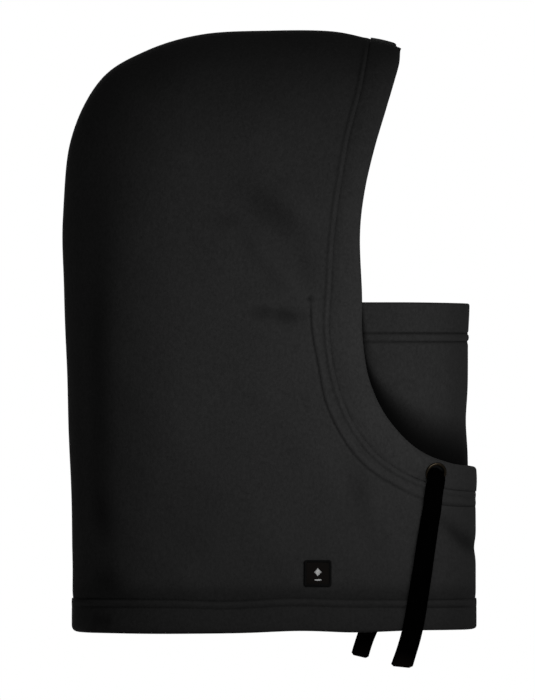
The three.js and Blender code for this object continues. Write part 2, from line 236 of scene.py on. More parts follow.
# Folds of the side that carries the label.
LABEL_SIDE_FOLDS = [
    Fold((-48, 336), (24, 266), 12, -1.4, 0.5, painted_shade=0.13),
    Fold((-26, 314), (18, 276), 7.5, -2.6, 0.5, painted_shade=0.22),
    Fold((-2, 318), (28, 286), 8, 1.6),
    Fold((-24, 284), (22, 234), 8, 3.2),
    Fold((10, 278), (28, 236), 8, -1.6, 0.5, painted_shade=0.15),
    Fold((-22, 223.5), (2, 223.5), 3.6, -2.2, 0.5, painted_shade=0.3),
    Fold((-6, 223.5), (20, 219.5), 4.2, -2.8, 0.5, painted_shade=0.42),
    Fold((-28, 233), (12, 233), 7, 1.0),
    Fold((-52, 294), (-16, 286), 5, -1.2, 0.5, painted_shade=0.12),
    Fold((53, 126), (58, 72), 8, -2.4, 0.5, painted_shade=0.16),
    Fold((66, 112), (76, 66), 8, 1.6),
    Fold((4, 160), (40, 112), 22, 2.2),
    Fold((-96, 330), (-90, 120), 30, 1.4),
    Fold((-60, 120), (-72, 40), 22, -1.6, painted_shade=0.08),
    Fold((-20, 96), (14, 40), 18, 1.2),
    Fold((88, 92), (94, 40), 9, -1.2),
]
# Folds of the other side.
PLAIN_SIDE_FOLDS = [
    Fold((-52, 320), (8, 288), 9, -2.4, painted_shade=0.15),
    Fold((-26, 296), (26, 246), 10, 2.0),
    Fold((-18, 216), (22, 224), 5, -2.2, painted_shade=0.3),
    Fold((48, 118), (60, 70), 9, -2.0, painted_shade=0.15),
    Fold((-70, 150), (-40, 70), 16, 1.6),
    Fold((-92, 320), (-96, 140), 30, 1.2),
    Fold((92, 90), (84, 44), 8, -1.4),
]


@dataclass
class HoodForm:
    """The hood's outer surface, worked out from its side view."""

    back_curve: float = 85 * MM
    front_curve: float = 60 * MM
    neck_half: float = 62 * MM
    head_half: float = 67 * MM
    chin_z: float = 120 * MM
    temple_z: float = 300 * MM
    ripple_height: float = 0.5 * MM
    pull_slope: float = 0.42
    flat_slope: float = 0.26
    crown: Points = field(default_factory=lambda: spline(BACK_AND_CROWN, 160))
    casing_seam: Points = field(default_factory=lambda: spline(CASING_SEAM, 240))
    opening: Points = field(default_factory=lambda: spline(OPENING_EDGE, 240))
    mask_seam: Points = field(default_factory=lambda: spline(MASK_ATTACH_SEAM, 200))

    def __post_init__(self) -> None:
        """Take the front of the neck from the frame."""
        self.front_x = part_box("right_side_panel")[1].x

    def widest(self, z: Points) -> Points:
        """Half the hood's width where it is full, at a height."""
        t = smooth((z - self.chin_z) / (self.temple_z - self.chin_z))
        return self.neck_half + (self.head_half - self.neck_half) * t

    @staticmethod
    def rounding(distance: Points, reach: float) -> Points:
        """Square of a quarter ellipse, 0 at the edge and 1 from its reach on."""
        rest = 1 - np.clip(distance / reach, None, 1)
        return 1 - rest * rest

    def reach(self, x: Points, z: Points) -> Points:
        """How full the hood is at a place of the side view, squared."""
        from_crown = measure(self.crown, x, z)[0]
        return self.rounding(from_crown, self.back_curve) * self.rounding(self.front_x - x, self.front_curve)

    def half(self, x: Points, z: Points) -> Points:
        """Half the hood's width at a place of the side view."""
        return self.widest(z) * np.sqrt(np.clip(self.reach(x, z), 0, None))

    @staticmethod
    def hem_rise(x: Points, z: Points) -> Points:
        """How far the hem's stitched line rides up: one low swell, with a dip behind it."""
        swell = 1.1 * MM * bump(x - 16 * MM, 24 * MM)
        dip = 1.2 * MM * bump(x + 36 * MM, 22 * MM)
        return (1.3 * MM + swell - dip) * bump(z - 20 * MM, 12 * MM)

    def place(self, x: Points, z: Points, side: Side, lift: Points | float = 0.0) -> tuple[Points, Points]:
        """Put points of the side view on one half of the hood.

        Args:
            x: Places along X.
            z: Heights.
            side: Which half.
            lift: How far each point stands out from the surface.

        Returns:
            The points and the surface's outward directions, both (n, 3).
        """
        h = 0.4 * MM
        y = self.half(x, z)

        def level(px: Points, py: Points, pz: Points) -> Points:
            """How far a point lies outside the surface."""
            return (py / self.widest(pz)) ** 2 - self.reach(px, pz)

        normal = np.stack([
            level(x + h, y, z) - level(x - h, y, z),
            level(x, y + h, z) - level(x, y - h, z),
            level(x, y, z + h) - level(x, y, z - h)], 1)
        normal /= np.linalg.norm(normal, axis=1, keepdims=True)
        moved = np.stack([x, y, z], 1) + normal * np.broadcast_to(lift, x.shape)[:, None]
        moved[:, 1] = np.clip(moved[:, 1], 0, None) * side.value
        moved[:, 2] += self.hem_rise(x, z)
        normal[:, 1] *= side.value
        return moved, normal

    def relief(self, x: Points, z: Points, side: Side) -> Points:
        """Folds and ripples of the cloth, without its seams.

        Args:
            x: Places along X.
            z: Heights.
            side: Which half.

        Returns:
            The lift of each point.
        """
        inward = np.minimum(measure(self.crown, x, z)[0], self.front_x - x)
        own = smooth(inward / (32 * MM))
        folds = LABEL_SIDE_FOLDS if side is Side.RIGHT else PLAIN_SIDE_FOLDS
        lift = sum(f.lift(x, z) for f in SHARED_FOLDS)
        lift = lift + own * sum(f.lift(x, z) for f in folds)
        phase = 0.0 if side is Side.RIGHT else 1.7
        ripple = (np.sin(61 * x + 38 * z + phase) + np.sin(-43 * x + 74 * z + 2.1 * phase)
                  + np.sin(97 * x - 29 * z + 0.6 + phase) + 0.6 * np.sin(150 * x + 131 * z + phase))
        shallow = np.sin(55 * z + 0.4) + np.sin(88 * z + 1.9)
        return lift + self.ripple_height * (own * ripple + 0.5 * (1 - own) * shallow) / 2

    def eyelet_pull(self, x: Points, z: Points) -> Points:
        """How the cord's weight tips the cloth round the eyelet down and flattens it."""
        dx, dz = x - EYELET_AT[0] * MM, z - EYELET_AT[1] * MM
        return (self.pull_slope * dz + self.flat_slope * dx) * bump(np.hypot(dx, dz), 10 * MM)

    def seams(self, x: Points, z: Points) -> Points:
        """Grooves and ridges where rows of stitches pull the cloth down.

        Args:
            x: Places along X.
            z: Heights.

        Returns:
            The lift of each point.
        """
        casing, _ = measure(self.casing_seam, x, z)
        mask, place = measure(self.mask_seam, x, z)
        sewn = smooth(place / 0.03)
        lift = -0.3 * MM * bump(casing, 0.75 * MM) + 0.8 * MM * bump(casing - 2.4 * MM, 1.5 * MM)
        lift -= 0.1 * MM * bump(casing - 4.6 * MM, 0.9 * MM)
        lift += sewn * (-0.75 * MM * bump(mask, 0.9 * MM) + 0.5 * MM * bump(mask + 2.4 * MM, 1.6 * MM))
        lift -= 1.5 * MM * bump(self.from_notch(x, z), 2.6 * MM)
        return lift * self.fade_to_middle(x, z)

    def fade_to_middle(self, x: Points, z: Points) -> Points:
        """How much of a seam's relief is left near the crown and the front of the neck."""
        inward = np.minimum(self.front_x - x, measure(self.crown, x, z)[0])
        return 0.3 + 0.7 * smooth(inward / (14 * MM))

    def from_notch(self, x: Points, z: Points) -> Points:
        """Distance from the bar tack at the top of the mask's seam."""
        top = self.mask_seam[0]
        return np.hypot(x - top[0], z - top[1] - 1 * MM)

    def painted_shade_map(self, x: Points, z: Points, side: Side) -> Points:
        """Painted shade: how much darker the cloth's colour is made in creases, along the seams, at the tack
        and in a band above the hem, from 0 to 1.

        Args:
            x: Places along X.
            z: Heights.
            side: Which half.

        Returns:
            The dimming of each point.
        """
        folds = SHARED_FOLDS + (LABEL_SIDE_FOLDS if side is Side.RIGHT else PLAIN_SIDE_FOLDS)
        clear = np.ones(x.shape)
        for fold in folds:
            if fold.painted_shade:
                clear *= 1 - fold.painted_shade * fold.shape(x, z)
        casing, _ = measure(self.casing_seam, x, z)
        mask, place = measure(self.mask_seam, x, z)
        # painted shade in the seam grooves, at the tack's dip and in the dip above the hem
        clear *= 1 - 0.12 * bump(casing, 0.9 * MM)
        clear *= 1 - 0.07 * bump(casing - 4.6 * MM, 0.9 * MM)
        clear *= 1 - 0.24 * bump(mask, 0.8 * MM) * smooth(place / 0.03)
        clear *= 1 - 0.6 * bump(self.from_notch(x, z), 1.9 * MM)
        clear *= 1 - 0.3 * bump(z - 27 * MM, 6.5 * MM)
        return 1 - clear


# ---------------------------------------------------------------- mesh work


def deselect_all() -> None:
    """Leave nothing selected."""
    if bpy.context.object and bpy.context.object.mode != "OBJECT":
        bpy.ops.object.mode_set(mode="OBJECT")
    bpy.ops.object.select_all(action="DESELECT")


def only(piece: bpy.types.Object) -> None:
    """Select one piece and make it the active one."""
    deselect_all()
    piece.select_set(True)
    bpy.context.view_layer.objects.active = piece


def edit_all(piece: bpy.types.Object) -> None:
    """Open a piece for editing with all of it selected."""
    only(piece)
    bpy.ops.object.mode_set(mode="EDIT")
    bpy.ops.mesh.select_mode(type="VERT")
    bpy.ops.mesh.select_all(action="SELECT")


def lay_grid(name: str, points: Points) -> bpy.types.Object:
    """Add a grid and lay each of its points where the cloth has it.

    Args:
        name: The piece's name.
        points: (rows, columns, 3) places in metres.

    Returns:
        The new piece, its object at the origin.
    """
    rows, columns = points.shape[:2]
    deselect_all()
    bpy.ops.mesh.primitive_grid_add(x_subdivisions=columns - 1, y_subdivisions=rows - 1, size=1)
    piece = bpy.context.object
    piece.name = name
    piece.data.name = name
    piece.data.vertices.foreach_set("co", np.ascontiguousarray(points, dtype=np.float32).reshape(-1))
    piece.data.update()
    return piece


def face_like(piece: bpy.types.Object, points: Points, outward: Points) -> None:
    """Turn an open sheet's faces to the side that its outward directions give."""
    rows, columns = points.shape[:2]
    i, j = rows // 2, columns // 2
    a = points[i, j + 1] - points[i, j]
    b = points[i + 1, j] - points[i, j]
    face = piece.data.polygons[i * (columns - 1) + j].normal
    if face.dot(Vector(outward[i, j])) < 0:
        edit_all(piece)
        bpy.ops.mesh.flip_normals()
        bpy.ops.object.mode_set(mode="OBJECT")
    LOG.debug("%s spans %.4f by %.4f", piece.name, np.linalg.norm(a), np.linalg.norm(b))


def store_painted_shade(piece: bpy.types.Object, amount: Points) -> None:
    """Store the painted shade at each point of a piece: how much darker its colour is made."""
    layer = piece.data.attributes.new("painted_shade_amount", "FLOAT", "POINT")
    layer.data.foreach_set("value", np.ascontiguousarray(amount, dtype=np.float32).ravel())


def apply_modifier(piece: bpy.types.Object, kind: str, **settings: object) -> None:
    """Add a modifier with its settings and apply it.

    Args:
        piece: The piece to finish.
        kind: The modifier's type.
        **settings: Its properties.
    """
    only(piece)
    modifier = piece.modifiers.new(kind.title(), kind)
    for key, value in settings.items():
        setattr(modifier, key, value)
    bpy.ops.object.modifier_apply(modifier=modifier.name)


def close_tube(piece: bpy.types.Object, cap_ends: bool) -> None:
    """Weld a rolled grid's meeting edges, cap its ends and turn its faces outwards.

    Args:
        piece: The rolled grid.
        cap_ends: Whether its two ends are open and need a cap.
    """
    edit_all(piece)
    bpy.ops.mesh.remove_doubles(threshold=1e-6)
    if cap_ends:
        bpy.ops.mesh.select_all(action="DESELECT")
        bpy.ops.mesh.select_mode(type="EDGE")
        bpy.ops.mesh.select_non_manifold(extend=False)
        bpy.ops.mesh.fill()
    bpy.ops.mesh.select_all(action="SELECT")
    bpy.ops.mesh.normals_make_consistent(inside=False)
    bpy.ops.object.mode_set(mode="OBJECT")


def smooth_shade(piece: bpy.types.Object, angle: float = 50.0) -> None:
    """Shade a piece smooth, apart from edges sharper than the angle in degrees."""
    only(piece)
    bpy.ops.object.shade_smooth_by_angle(angle=math.radians(angle))


def copies(name: str, pattern: bpy.types.Object, places: Points, axes: Points) -> bpy.types.Object:
    """Join many copies of one small modelled piece into a mesh.

    Args:
        name: The new piece's name.
        pattern: The piece to copy, about the origin. It is removed.
        places: (n, 3) where each copy goes.
        axes: (n, 3, 3) the copy's own X, Y and Z directions, as rows.

    Returns:
        The piece with all the copies.
    """
    count = len(pattern.data.vertices)
    shape = np.empty(count * 3, np.float32)
    pattern.data.vertices.foreach_get("co", shape)
    shape = shape.reshape(-1, 3)
    faces = [list(p.vertices) for p in pattern.data.polygons]
    points = np.einsum("vk,nkj->nvj", shape, axes) + places[:, None, :]
    all_faces = [[v + k * count for v in f] for k in range(len(places)) for f in faces]
    mesh = bpy.data.meshes.new(name)
    mesh.from_pydata(points.reshape(-1, 3).tolist(), [], all_faces)
    piece = bpy.data.objects.new(name, mesh)
    bpy.context.collection.objects.link(piece)
    bpy.data.objects.remove(pattern)
    smooth_shade(piece, 180)
    return piece


def thread_stitch(length: float, radius: float) -> bpy.types.Object:
    """Model one stitch: a short thread, thick in the middle and sunk at both ends."""
    deselect_all()
    bpy.ops.mesh.primitive_uv_sphere_add(segments=6, ring_count=5, radius=0.5)
    stitch = bpy.context.object
    stitch.name = "stitch_pattern"
    bpy.ops.object.mode_set(mode="EDIT")
    bpy.ops.mesh.select_all(action="SELECT")
    bpy.ops.transform.rotate(value=math.pi / 2, orient_axis="Y", center_override=(0, 0, 0))
    bpy.ops.transform.resize(value=(length, radius * 2, radius * 2))
    bpy.ops.object.mode_set(mode="OBJECT")
    return stitch


def unit(v: Points) -> Points:
    """Scale directions to length 1."""
    return v / np.maximum(np.linalg.norm(v, axis=-1, keepdims=True), 1e-12)


def stitch_row(name: str, line: Points, outward: Points, pitch: float = 3.0 * MM,
               length: float = 2.5 * MM, radius: float = 0.27 * MM) -> bpy.types.Object:
    """Sew a row of stitches along a line on the cloth.

    Args:
        name: The piece's name.
        line: (n, 3) points of the row.
        outward: (n, 3) the cloth's outward directions there.
        pitch: Distance from one stitch to the next.
        length: Length of a stitch.
        radius: Half the thread's thickness.

    Returns:
        The row as one piece.
    """
    run = np.linalg.norm(np.diff(line, axis=0), axis=1).sum()
    count = max(2, int(run / pitch))
    middle = (np.arange(count) + 0.5) / count
    both = along(np.hstack([line, outward]), middle)
    ahead = along(line, np.clip(middle + 0.4 * length / run, 0, 1))
    behind = along(line, np.clip(middle - 0.4 * length / run, 0, 1))
    x = unit(ahead - behind)
    z = unit(both[:, 3:] - (both[:, 3:] * x).sum(1, keepdims=True) * x)
    y = np.cross(z, x)
    return copies(name, thread_stitch(length, radius), both[:, :3], np.stack([x, y, z], 1))


def paint(piece: bpy.types.Object, finish: "Finish") -> None:
    """Give a piece its material."""
    piece.data.materials.clear()
    piece.data.materials.append(finish.material())


def repaint_node(node: str, finish: "Finish") -> None:
    """Give a CAD node that stays its better material."""
    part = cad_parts[node]
    for place in part.material_slots:
        place.material = finish.material()
    if not part.material_slots:
        part.data.materials.append(finish.material())


# ---------------------------------------------------------------- finishes


class NodeSheet:
    """Adds nodes to one material and joins them up."""

    def __init__(self, name: str) -> None:
        """Start an empty material."""
        self.made = bpy.data.materials.new(name)
        self.made.use_nodes = True
        self.tree = self.made.node_tree
        self.tree.nodes.clear()

    def add(self, kind: str, inputs: dict | None = None, **settings: object) -> bpy.types.Node:
        """Add a node.

        Args:
            kind: The node's type.
            inputs: Values or outputs for its sockets, by socket name or number.
            **settings: Its own properties.

        Returns:
            The node.
        """
        node = self.tree.nodes.new(kind)
        for key, value in settings.items():
            setattr(node, key, value)
        for key, value in (inputs or {}).items():
            if isinstance(value, bpy.types.NodeSocket):
                self.tree.links.new(value, node.inputs[key])
            else:
                node.inputs[key].default_value = value
        return node

    def math(self, operation: str, *values: object) -> bpy.types.NodeSocket:
        """Add a sum of numbers or outputs and give its result."""
        return self.add("ShaderNodeMath", dict(enumerate(values)), operation=operation).outputs[0]

    def noise(self, coords: bpy.types.NodeSocket, scale: float, detail: float = 2.0,
              rough: float = 0.5) -> bpy.types.NodeSocket:
        """Add a noise of so many lumps to the metre and give its value."""
        made = self.add("ShaderNodeTexNoise",
                        {"Vector": coords, "Scale": scale, "Detail": detail, "Roughness": rough})
        return made.outputs["Fac"]

    def object_coords(self, scale: tuple[float, float, float] = (1, 1, 1)) -> bpy.types.NodeSocket:
        """The piece's own coordinates, stretched by a scale."""
        coords = self.add("ShaderNodeTexCoord").outputs["Object"]
        return self.add("ShaderNodeMapping", {"Vector": coords, "Scale": scale}).outputs[0]

    def ramp(self, value: bpy.types.NodeSocket, low: float, high: float) -> bpy.types.NodeSocket:
        """Stretch a value so that low becomes 0 and high becomes 1."""
        made = self.add("ShaderNodeMapRange", {0: value, 1: low, 2: high, 3: 0.0, 4: 1.0})
        return made.outputs[0]

    def mix(self, factor: object, a: object, b: object) -> bpy.types.NodeSocket:
        """Mix two colours."""
        made = self.add("ShaderNodeMix", data_type="RGBA")
        for socket, value in zip((made.inputs[0], made.inputs[6], made.inputs[7]), (factor, a, b)):
            if isinstance(value, bpy.types.NodeSocket):
                self.tree.links.new(value, socket)
            else:
                socket.default_value = value
        return made.outputs[2]

    def relief(self, height: bpy.types.NodeSocket, distance: float, strength: float = 1.0,
               under: bpy.types.NodeSocket | None = None) -> bpy.types.NodeSocket:
        """Add a bump over another and give its normal."""
        inputs = {"Height": height, "Distance": distance, "Strength": strength}
        if under is not None:
            inputs["Normal"] = under
        return self.add("ShaderNodeBump", inputs).outputs[0]

    def finish(self, **inputs: object) -> bpy.types.Material:
        """Join a surface shader with these sockets to the output and give the material."""
        named = {key.replace("_", " "): value for key, value in inputs.items()}
        shader = self.add("ShaderNodeBsdfPrincipled", named)
        self.add("ShaderNodeOutputMaterial", {"Surface": shader.outputs[0]})
        return self.made


def grey(value: float, warm: float = 0.0) -> tuple[float, float, float, float]:
    """A grey, made warmer or, below zero, cooler."""
    return (value * (1 + warm), value, value * (1 - warm), 1.0)


class Finish:
    """A finish that makes its material once."""

    label = "plain"

    def build(self) -> bpy.types.Material:
        """Make the material's nodes."""
        raise NotImplementedError

    def material(self) -> bpy.types.Material:
        """The material, made the first time it is asked for."""
        return bpy.data.materials.get(self.label) or self.build()


@dataclass(frozen=True)
class FleeceFinish(Finish):
    """Brushed fleece: a short matted pile with fine tufts and faint mottling, darkened by each piece's
    painted shade.
    """

    label: str = "brushed_fleece"
    dark: float = 0.0098
    light: float = 0.0190
    tuft_height: float = 0.26 * MM

    def build(self) -> bpy.types.Material:
        """Make the pile's colour and relief."""
        s = NodeSheet(self.label)
        coords = s.object_coords((1, 1, 0.8))
        hairs = s.noise(coords, 1250, 3, 0.65)
        tufts = s.noise(coords, 500, 3, 0.6)
        clumps = s.noise(coords, 170, 2, 0.5)
        mottle = s.noise(coords, 28, 3, 0.55)
        pile = s.math("ADD", s.math("MULTIPLY", hairs, 0.45), s.math("MULTIPLY", tufts, 0.55))
        shade = s.ramp(pile, 0.3, 0.7)
        colour = s.mix(shade, grey(self.dark), grey(self.light))
        patchy = s.ramp(s.math("ADD", s.math("MULTIPLY", mottle, 0.7), s.math("MULTIPLY", clumps, 0.3)),
                        0.3, 0.7)
        colour = s.mix(s.math("MULTIPLY", patchy, 0.2), colour, grey(self.light * 1.15))
        # painted shade: the stored attribute mixes the colour towards near black
        painted_shade_amount = s.add("ShaderNodeAttribute", attribute_name="painted_shade_amount").outputs["Fac"]
        colour = s.mix(painted_shade_amount, colour, grey(self.dark * 0.06))
        low = s.relief(clumps, 0.45 * MM, 0.5)
        mid = s.relief(tufts, self.tuft_height, 0.75, low)
        top = s.relief(hairs, 0.15 * MM, 0.7, mid)
        return s.finish(Base_Color=colour, Roughness=0.95, Specular_IOR_Level=0.04,
                        Sheen_Weight=0.012, Sheen_Roughness=0.5, Normal=top)


@dataclass(frozen=True)
class ThreadFinish(Finish):
    """Spun polyester sewing thread."""

    label: str = "black_thread"
    tone: float = 0.0065

    def build(self) -> bpy.types.Material:
        """Make the twisted thread."""
        s = NodeSheet(self.label)
        coords = s.object_coords()
        twist = s.noise(coords, 2600, 2, 0.5)
        colour = s.mix(twist, grey(self.tone * 0.7), grey(self.tone * 1.5))
        return s.finish(Base_Color=colour, Roughness=0.7, Specular_IOR_Level=0.06,
                        Normal=s.relief(twist, 0.08 * MM, 0.7))


@dataclass(frozen=True)
class WebbingFinish(Finish):
    """Flat woven cord, with a chevron weave along its length and ends sealed by heat."""

    label: str = "flat_cord_weave"
    tone: float = 0.0001

    def build(self) -> bpy.types.Material:
        """Make the weave from the cord's own length and width coordinates."""
        s = NodeSheet(self.label)
        uv = s.add("ShaderNodeUVMap", uv_map="UVMap").outputs[0]
        split = s.add("ShaderNodeSeparateXYZ", {0: uv})
        across, length = split.outputs[0], split.outputs[1]
        chevron = s.math("ADD", length, s.math("ABSOLUTE", s.math("SUBTRACT", across, 0.25)))
        yarns = s.math("SINE", s.math("MULTIPLY", chevron, 520.0))
        ribs = s.math("SINE", s.math("MULTIPLY", across, 180.0))
        weave = s.math("MULTIPLY", s.math("ADD", yarns, ribs), 0.25)
        fuzz = s.noise(s.object_coords(), 1800, 2, 0.6)
        height = s.math("ADD", s.math("MULTIPLY", weave, 0.8), s.math("MULTIPLY", fuzz, 0.5))
        colour = s.mix(s.ramp(height, -0.2, 0.8), grey(self.tone * 0.5), grey(self.tone * 1.6))
        sealed = s.add("ShaderNodeAttribute", attribute_name="sealed").outputs["Fac"]
        colour = s.mix(sealed, colour, (0.0030, 0.0022, 0.0018, 1))
        rough = s.math("SUBTRACT", 0.78, s.math("MULTIPLY", sealed, 0.25))
        return s.finish(Base_Color=colour, Roughness=rough, Specular_IOR_Level=0.005,
                        Normal=s.relief(height, 0.25 * MM, 0.8))


@dataclass(frozen=True)
class BrassFinish(Finish):
    """Dark antique brass, rubbed brighter on its proud edges."""

    label: str = "antique_brass"

    def build(self) -> bpy.types.Material:
        """Make the metal."""
        s = NodeSheet(self.label)
        coords = s.object_coords()
        stain = s.noise(coords, 420, 4, 0.6)
        scratch = s.noise(s.object_coords((1, 1, 6)), 900, 2, 0.5)
        worn = s.ramp(s.add("ShaderNodeNewGeometry").outputs["Pointiness"], 0.49, 0.56)
        base = s.mix(s.ramp(stain, 0.35, 0.7), (0.004, 0.0034, 0.0027, 1), (0.011, 0.009, 0.0065, 1))
        colour = s.mix(s.math("MULTIPLY", worn, 0.6), base, (0.045, 0.035, 0.023, 1))
        rough = s.math("ADD", 0.26, s.math("MULTIPLY", stain, 0.2))
        return s.finish(Base_Color=colour, Metallic=1.0, Roughness=rough,
                        Normal=s.relief(scratch, 0.03 * MM, 0.4))


@dataclass(frozen=True)
class WovenFinish(Finish):
    """Close plain weave, as of a label or a tape."""

    label: str = "label_cloth"
    low: tuple[float, float, float, float] = (0.0012, 0.0009, 0.0007, 1)
    high: tuple[float, float, float, float] = (0.0034, 0.0025, 0.0020, 1)
    threads: float = 9000.0
    rough: float = 0.7

    def build(self) -> bpy.types.Material:
        """Make warp and weft."""
        s = NodeSheet(self.label)
        split = s.add("ShaderNodeSeparateXYZ", {0: s.object_coords()})
        warp = s.math("SINE", s.math("MULTIPLY", split.outputs[0], self.threads))
        weft = s.math("SINE", s.math("MULTIPLY", split.outputs[2], self.threads))
        weave = s.ramp(s.math("MULTIPLY", warp, weft), -1.0, 1.0)
        fuzz = s.noise(s.object_coords(), 1600, 2, 0.6)
        both = s.math("ADD", s.math("MULTIPLY", weave, 0.6), s.math("MULTIPLY", fuzz, 0.4))
        return s.finish(Base_Color=s.mix(both, self.low, self.high), Roughness=self.rough,
                        Specular_IOR_Level=0.04, Normal=s.relief(both, 0.12 * MM, 0.6))


FLEECE = FleeceFinish()
# Lit and shaded copies of the one fleece: the casing's copy is painted lighter, the hem's and the mask's are
# painted darker.
EDGE_FLEECE_PAINTED_LIGHT = FleeceFinish(label="turned_edge_fleece", dark=0.0102, light=0.0198)
HEM_FLEECE_PAINTED_SHADE = FleeceFinish(label="hem_fleece_painted_shade", dark=0.0090, light=0.0174)
MASK_FLEECE_PAINTED_SHADE = FleeceFinish(label="mask_fleece_painted_shade", dark=0.0086, light=0.0171)
THREAD = ThreadFinish()
WEBBING = WebbingFinish()
CORD_FILL = ThreadFinish(label="cord_fill_weave", tone=0.0004)
BRASS = BrassFinish()
LABEL_WEAVE = WovenFinish()
LABEL_EDGE = ThreadFinish(label="label_edge_thread", tone=0.0012)
LABEL_MARK = ThreadFinish(label="label_mark_thread", tone=0.34)
TAPE_WEAVE = WovenFinish(label="tape_weave", low=(0.006, 0.006, 0.0065, 1), high=(0.017, 0.017, 0.018, 1),
                         threads=5200)
CARE_SATIN = WovenFinish(label="satin_weave", low=(0.52, 0.52, 0.5, 1), high=(0.66, 0.66, 0.64, 1),
                         threads=11000, rough=0.45)


# ---------------------------------------------------------------- studio


@dataclass
class Studio:
    """Camera, lights, floor and backdrop."""

    distance: float = 12.0
    view_height: float = 0.490
    aim: tuple[float, float, float] = (-0.0045, 0.0, 0.1974)
    sensor: float = 36.0
    floor_z: float = -0.30
    surround: float = 0.125

    def set_camera(self) -> None:
        """Look at the hood's right side from a long way off."""
        data = bpy.data.cameras.new("camera")
        data.sensor_width = self.sensor
        data.lens = self.sensor * self.distance / self.view_height
        data.clip_end = 60
        camera = bpy.data.objects.new("camera", data)
        bpy.context.collection.objects.link(camera)
        camera.location = Vector(self.aim) - Vector((0, self.distance, 0))
        camera.rotation_euler = (math.pi / 2, 0, 0)
        bpy.context.scene.camera = camera

    def area_light(self, name: str, place: tuple[float, float, float], size: float, watts: float) -> None:
        """Add a square soft light that looks at the hood."""
        data = bpy.data.lights.new(name, "AREA")
        data.shape = "SQUARE"
        data.size = size
        data.energy = watts
        light = bpy.data.objects.new(name, data)
        bpy.context.collection.objects.link(light)
        light.visible_camera = False
        light.location = place
        light.rotation_euler = (Vector(self.aim) - Vector(place)).to_track_quat("-Z", "Y").to_euler()

    def set_lights(self) -> None:
        """A close key, a softer light behind it, one above, one for the far side, and the surround."""
        self.area_light("key_light", (0.15, -0.29, 0.183), 0.17, 0.70)
        self.area_light("soft_light", (0.06, -0.50, 0.25), 0.3, 0.28)
        self.area_light("top_light", (1.1, -1.0, 1.0), 0.8, 4.4)
        self.area_light("far_light", (-0.2, 1.6, 0.5), 1.0, 14)
        world = bpy.data.worlds.new("surround")
        world.use_nodes = True
        tree = world.node_tree
        seen = tree.nodes.new("ShaderNodeLightPath").outputs["Is Camera Ray"]
        strength = tree.nodes.new("ShaderNodeMapRange")
        strength.inputs["To Min"].default_value = self.surround
        strength.inputs["To Max"].default_value = 1.0
        tree.links.new(seen, strength.inputs["Value"])
        shade = tree.nodes["Background"]
        shade.inputs["Color"].default_value = (1, 1, 1, 1)
        tree.links.new(strength.outputs[0], shade.inputs["Strength"])
        bpy.context.scene.world = world
        bpy.context.scene.view_settings.view_transform = "Standard"

    def set_floor(self) -> None:
        """Lay a wide pale floor below the hood."""
        deselect_all()
        bpy.ops.mesh.primitive_plane_add(size=14, location=(0, 0, self.floor_z))
        floor = bpy.context.object
        floor.name = "studio_floor"
        s = NodeSheet("studio_white")
        grain = s.noise(s.object_coords(), 6, 2, 0.5)
        floor.data.materials.append(
            s.finish(Base_Color=s.mix(grain, grey(0.86), grey(0.9)), Roughness=0.8,
                     Specular_IOR_Level=0.1, Emission_Color=grey(1.0), Emission_Strength=0.12))

    def build(self) -> None:
        """Set the camera, the lights and the floor."""
        self.set_camera()
        self.set_lights()
        self.set_floor()
        LOG.info("studio: camera %.1f m off, floor at %.2f m", self.distance, self.floor_z)


# ---------------------------------------------------------------- drawcord


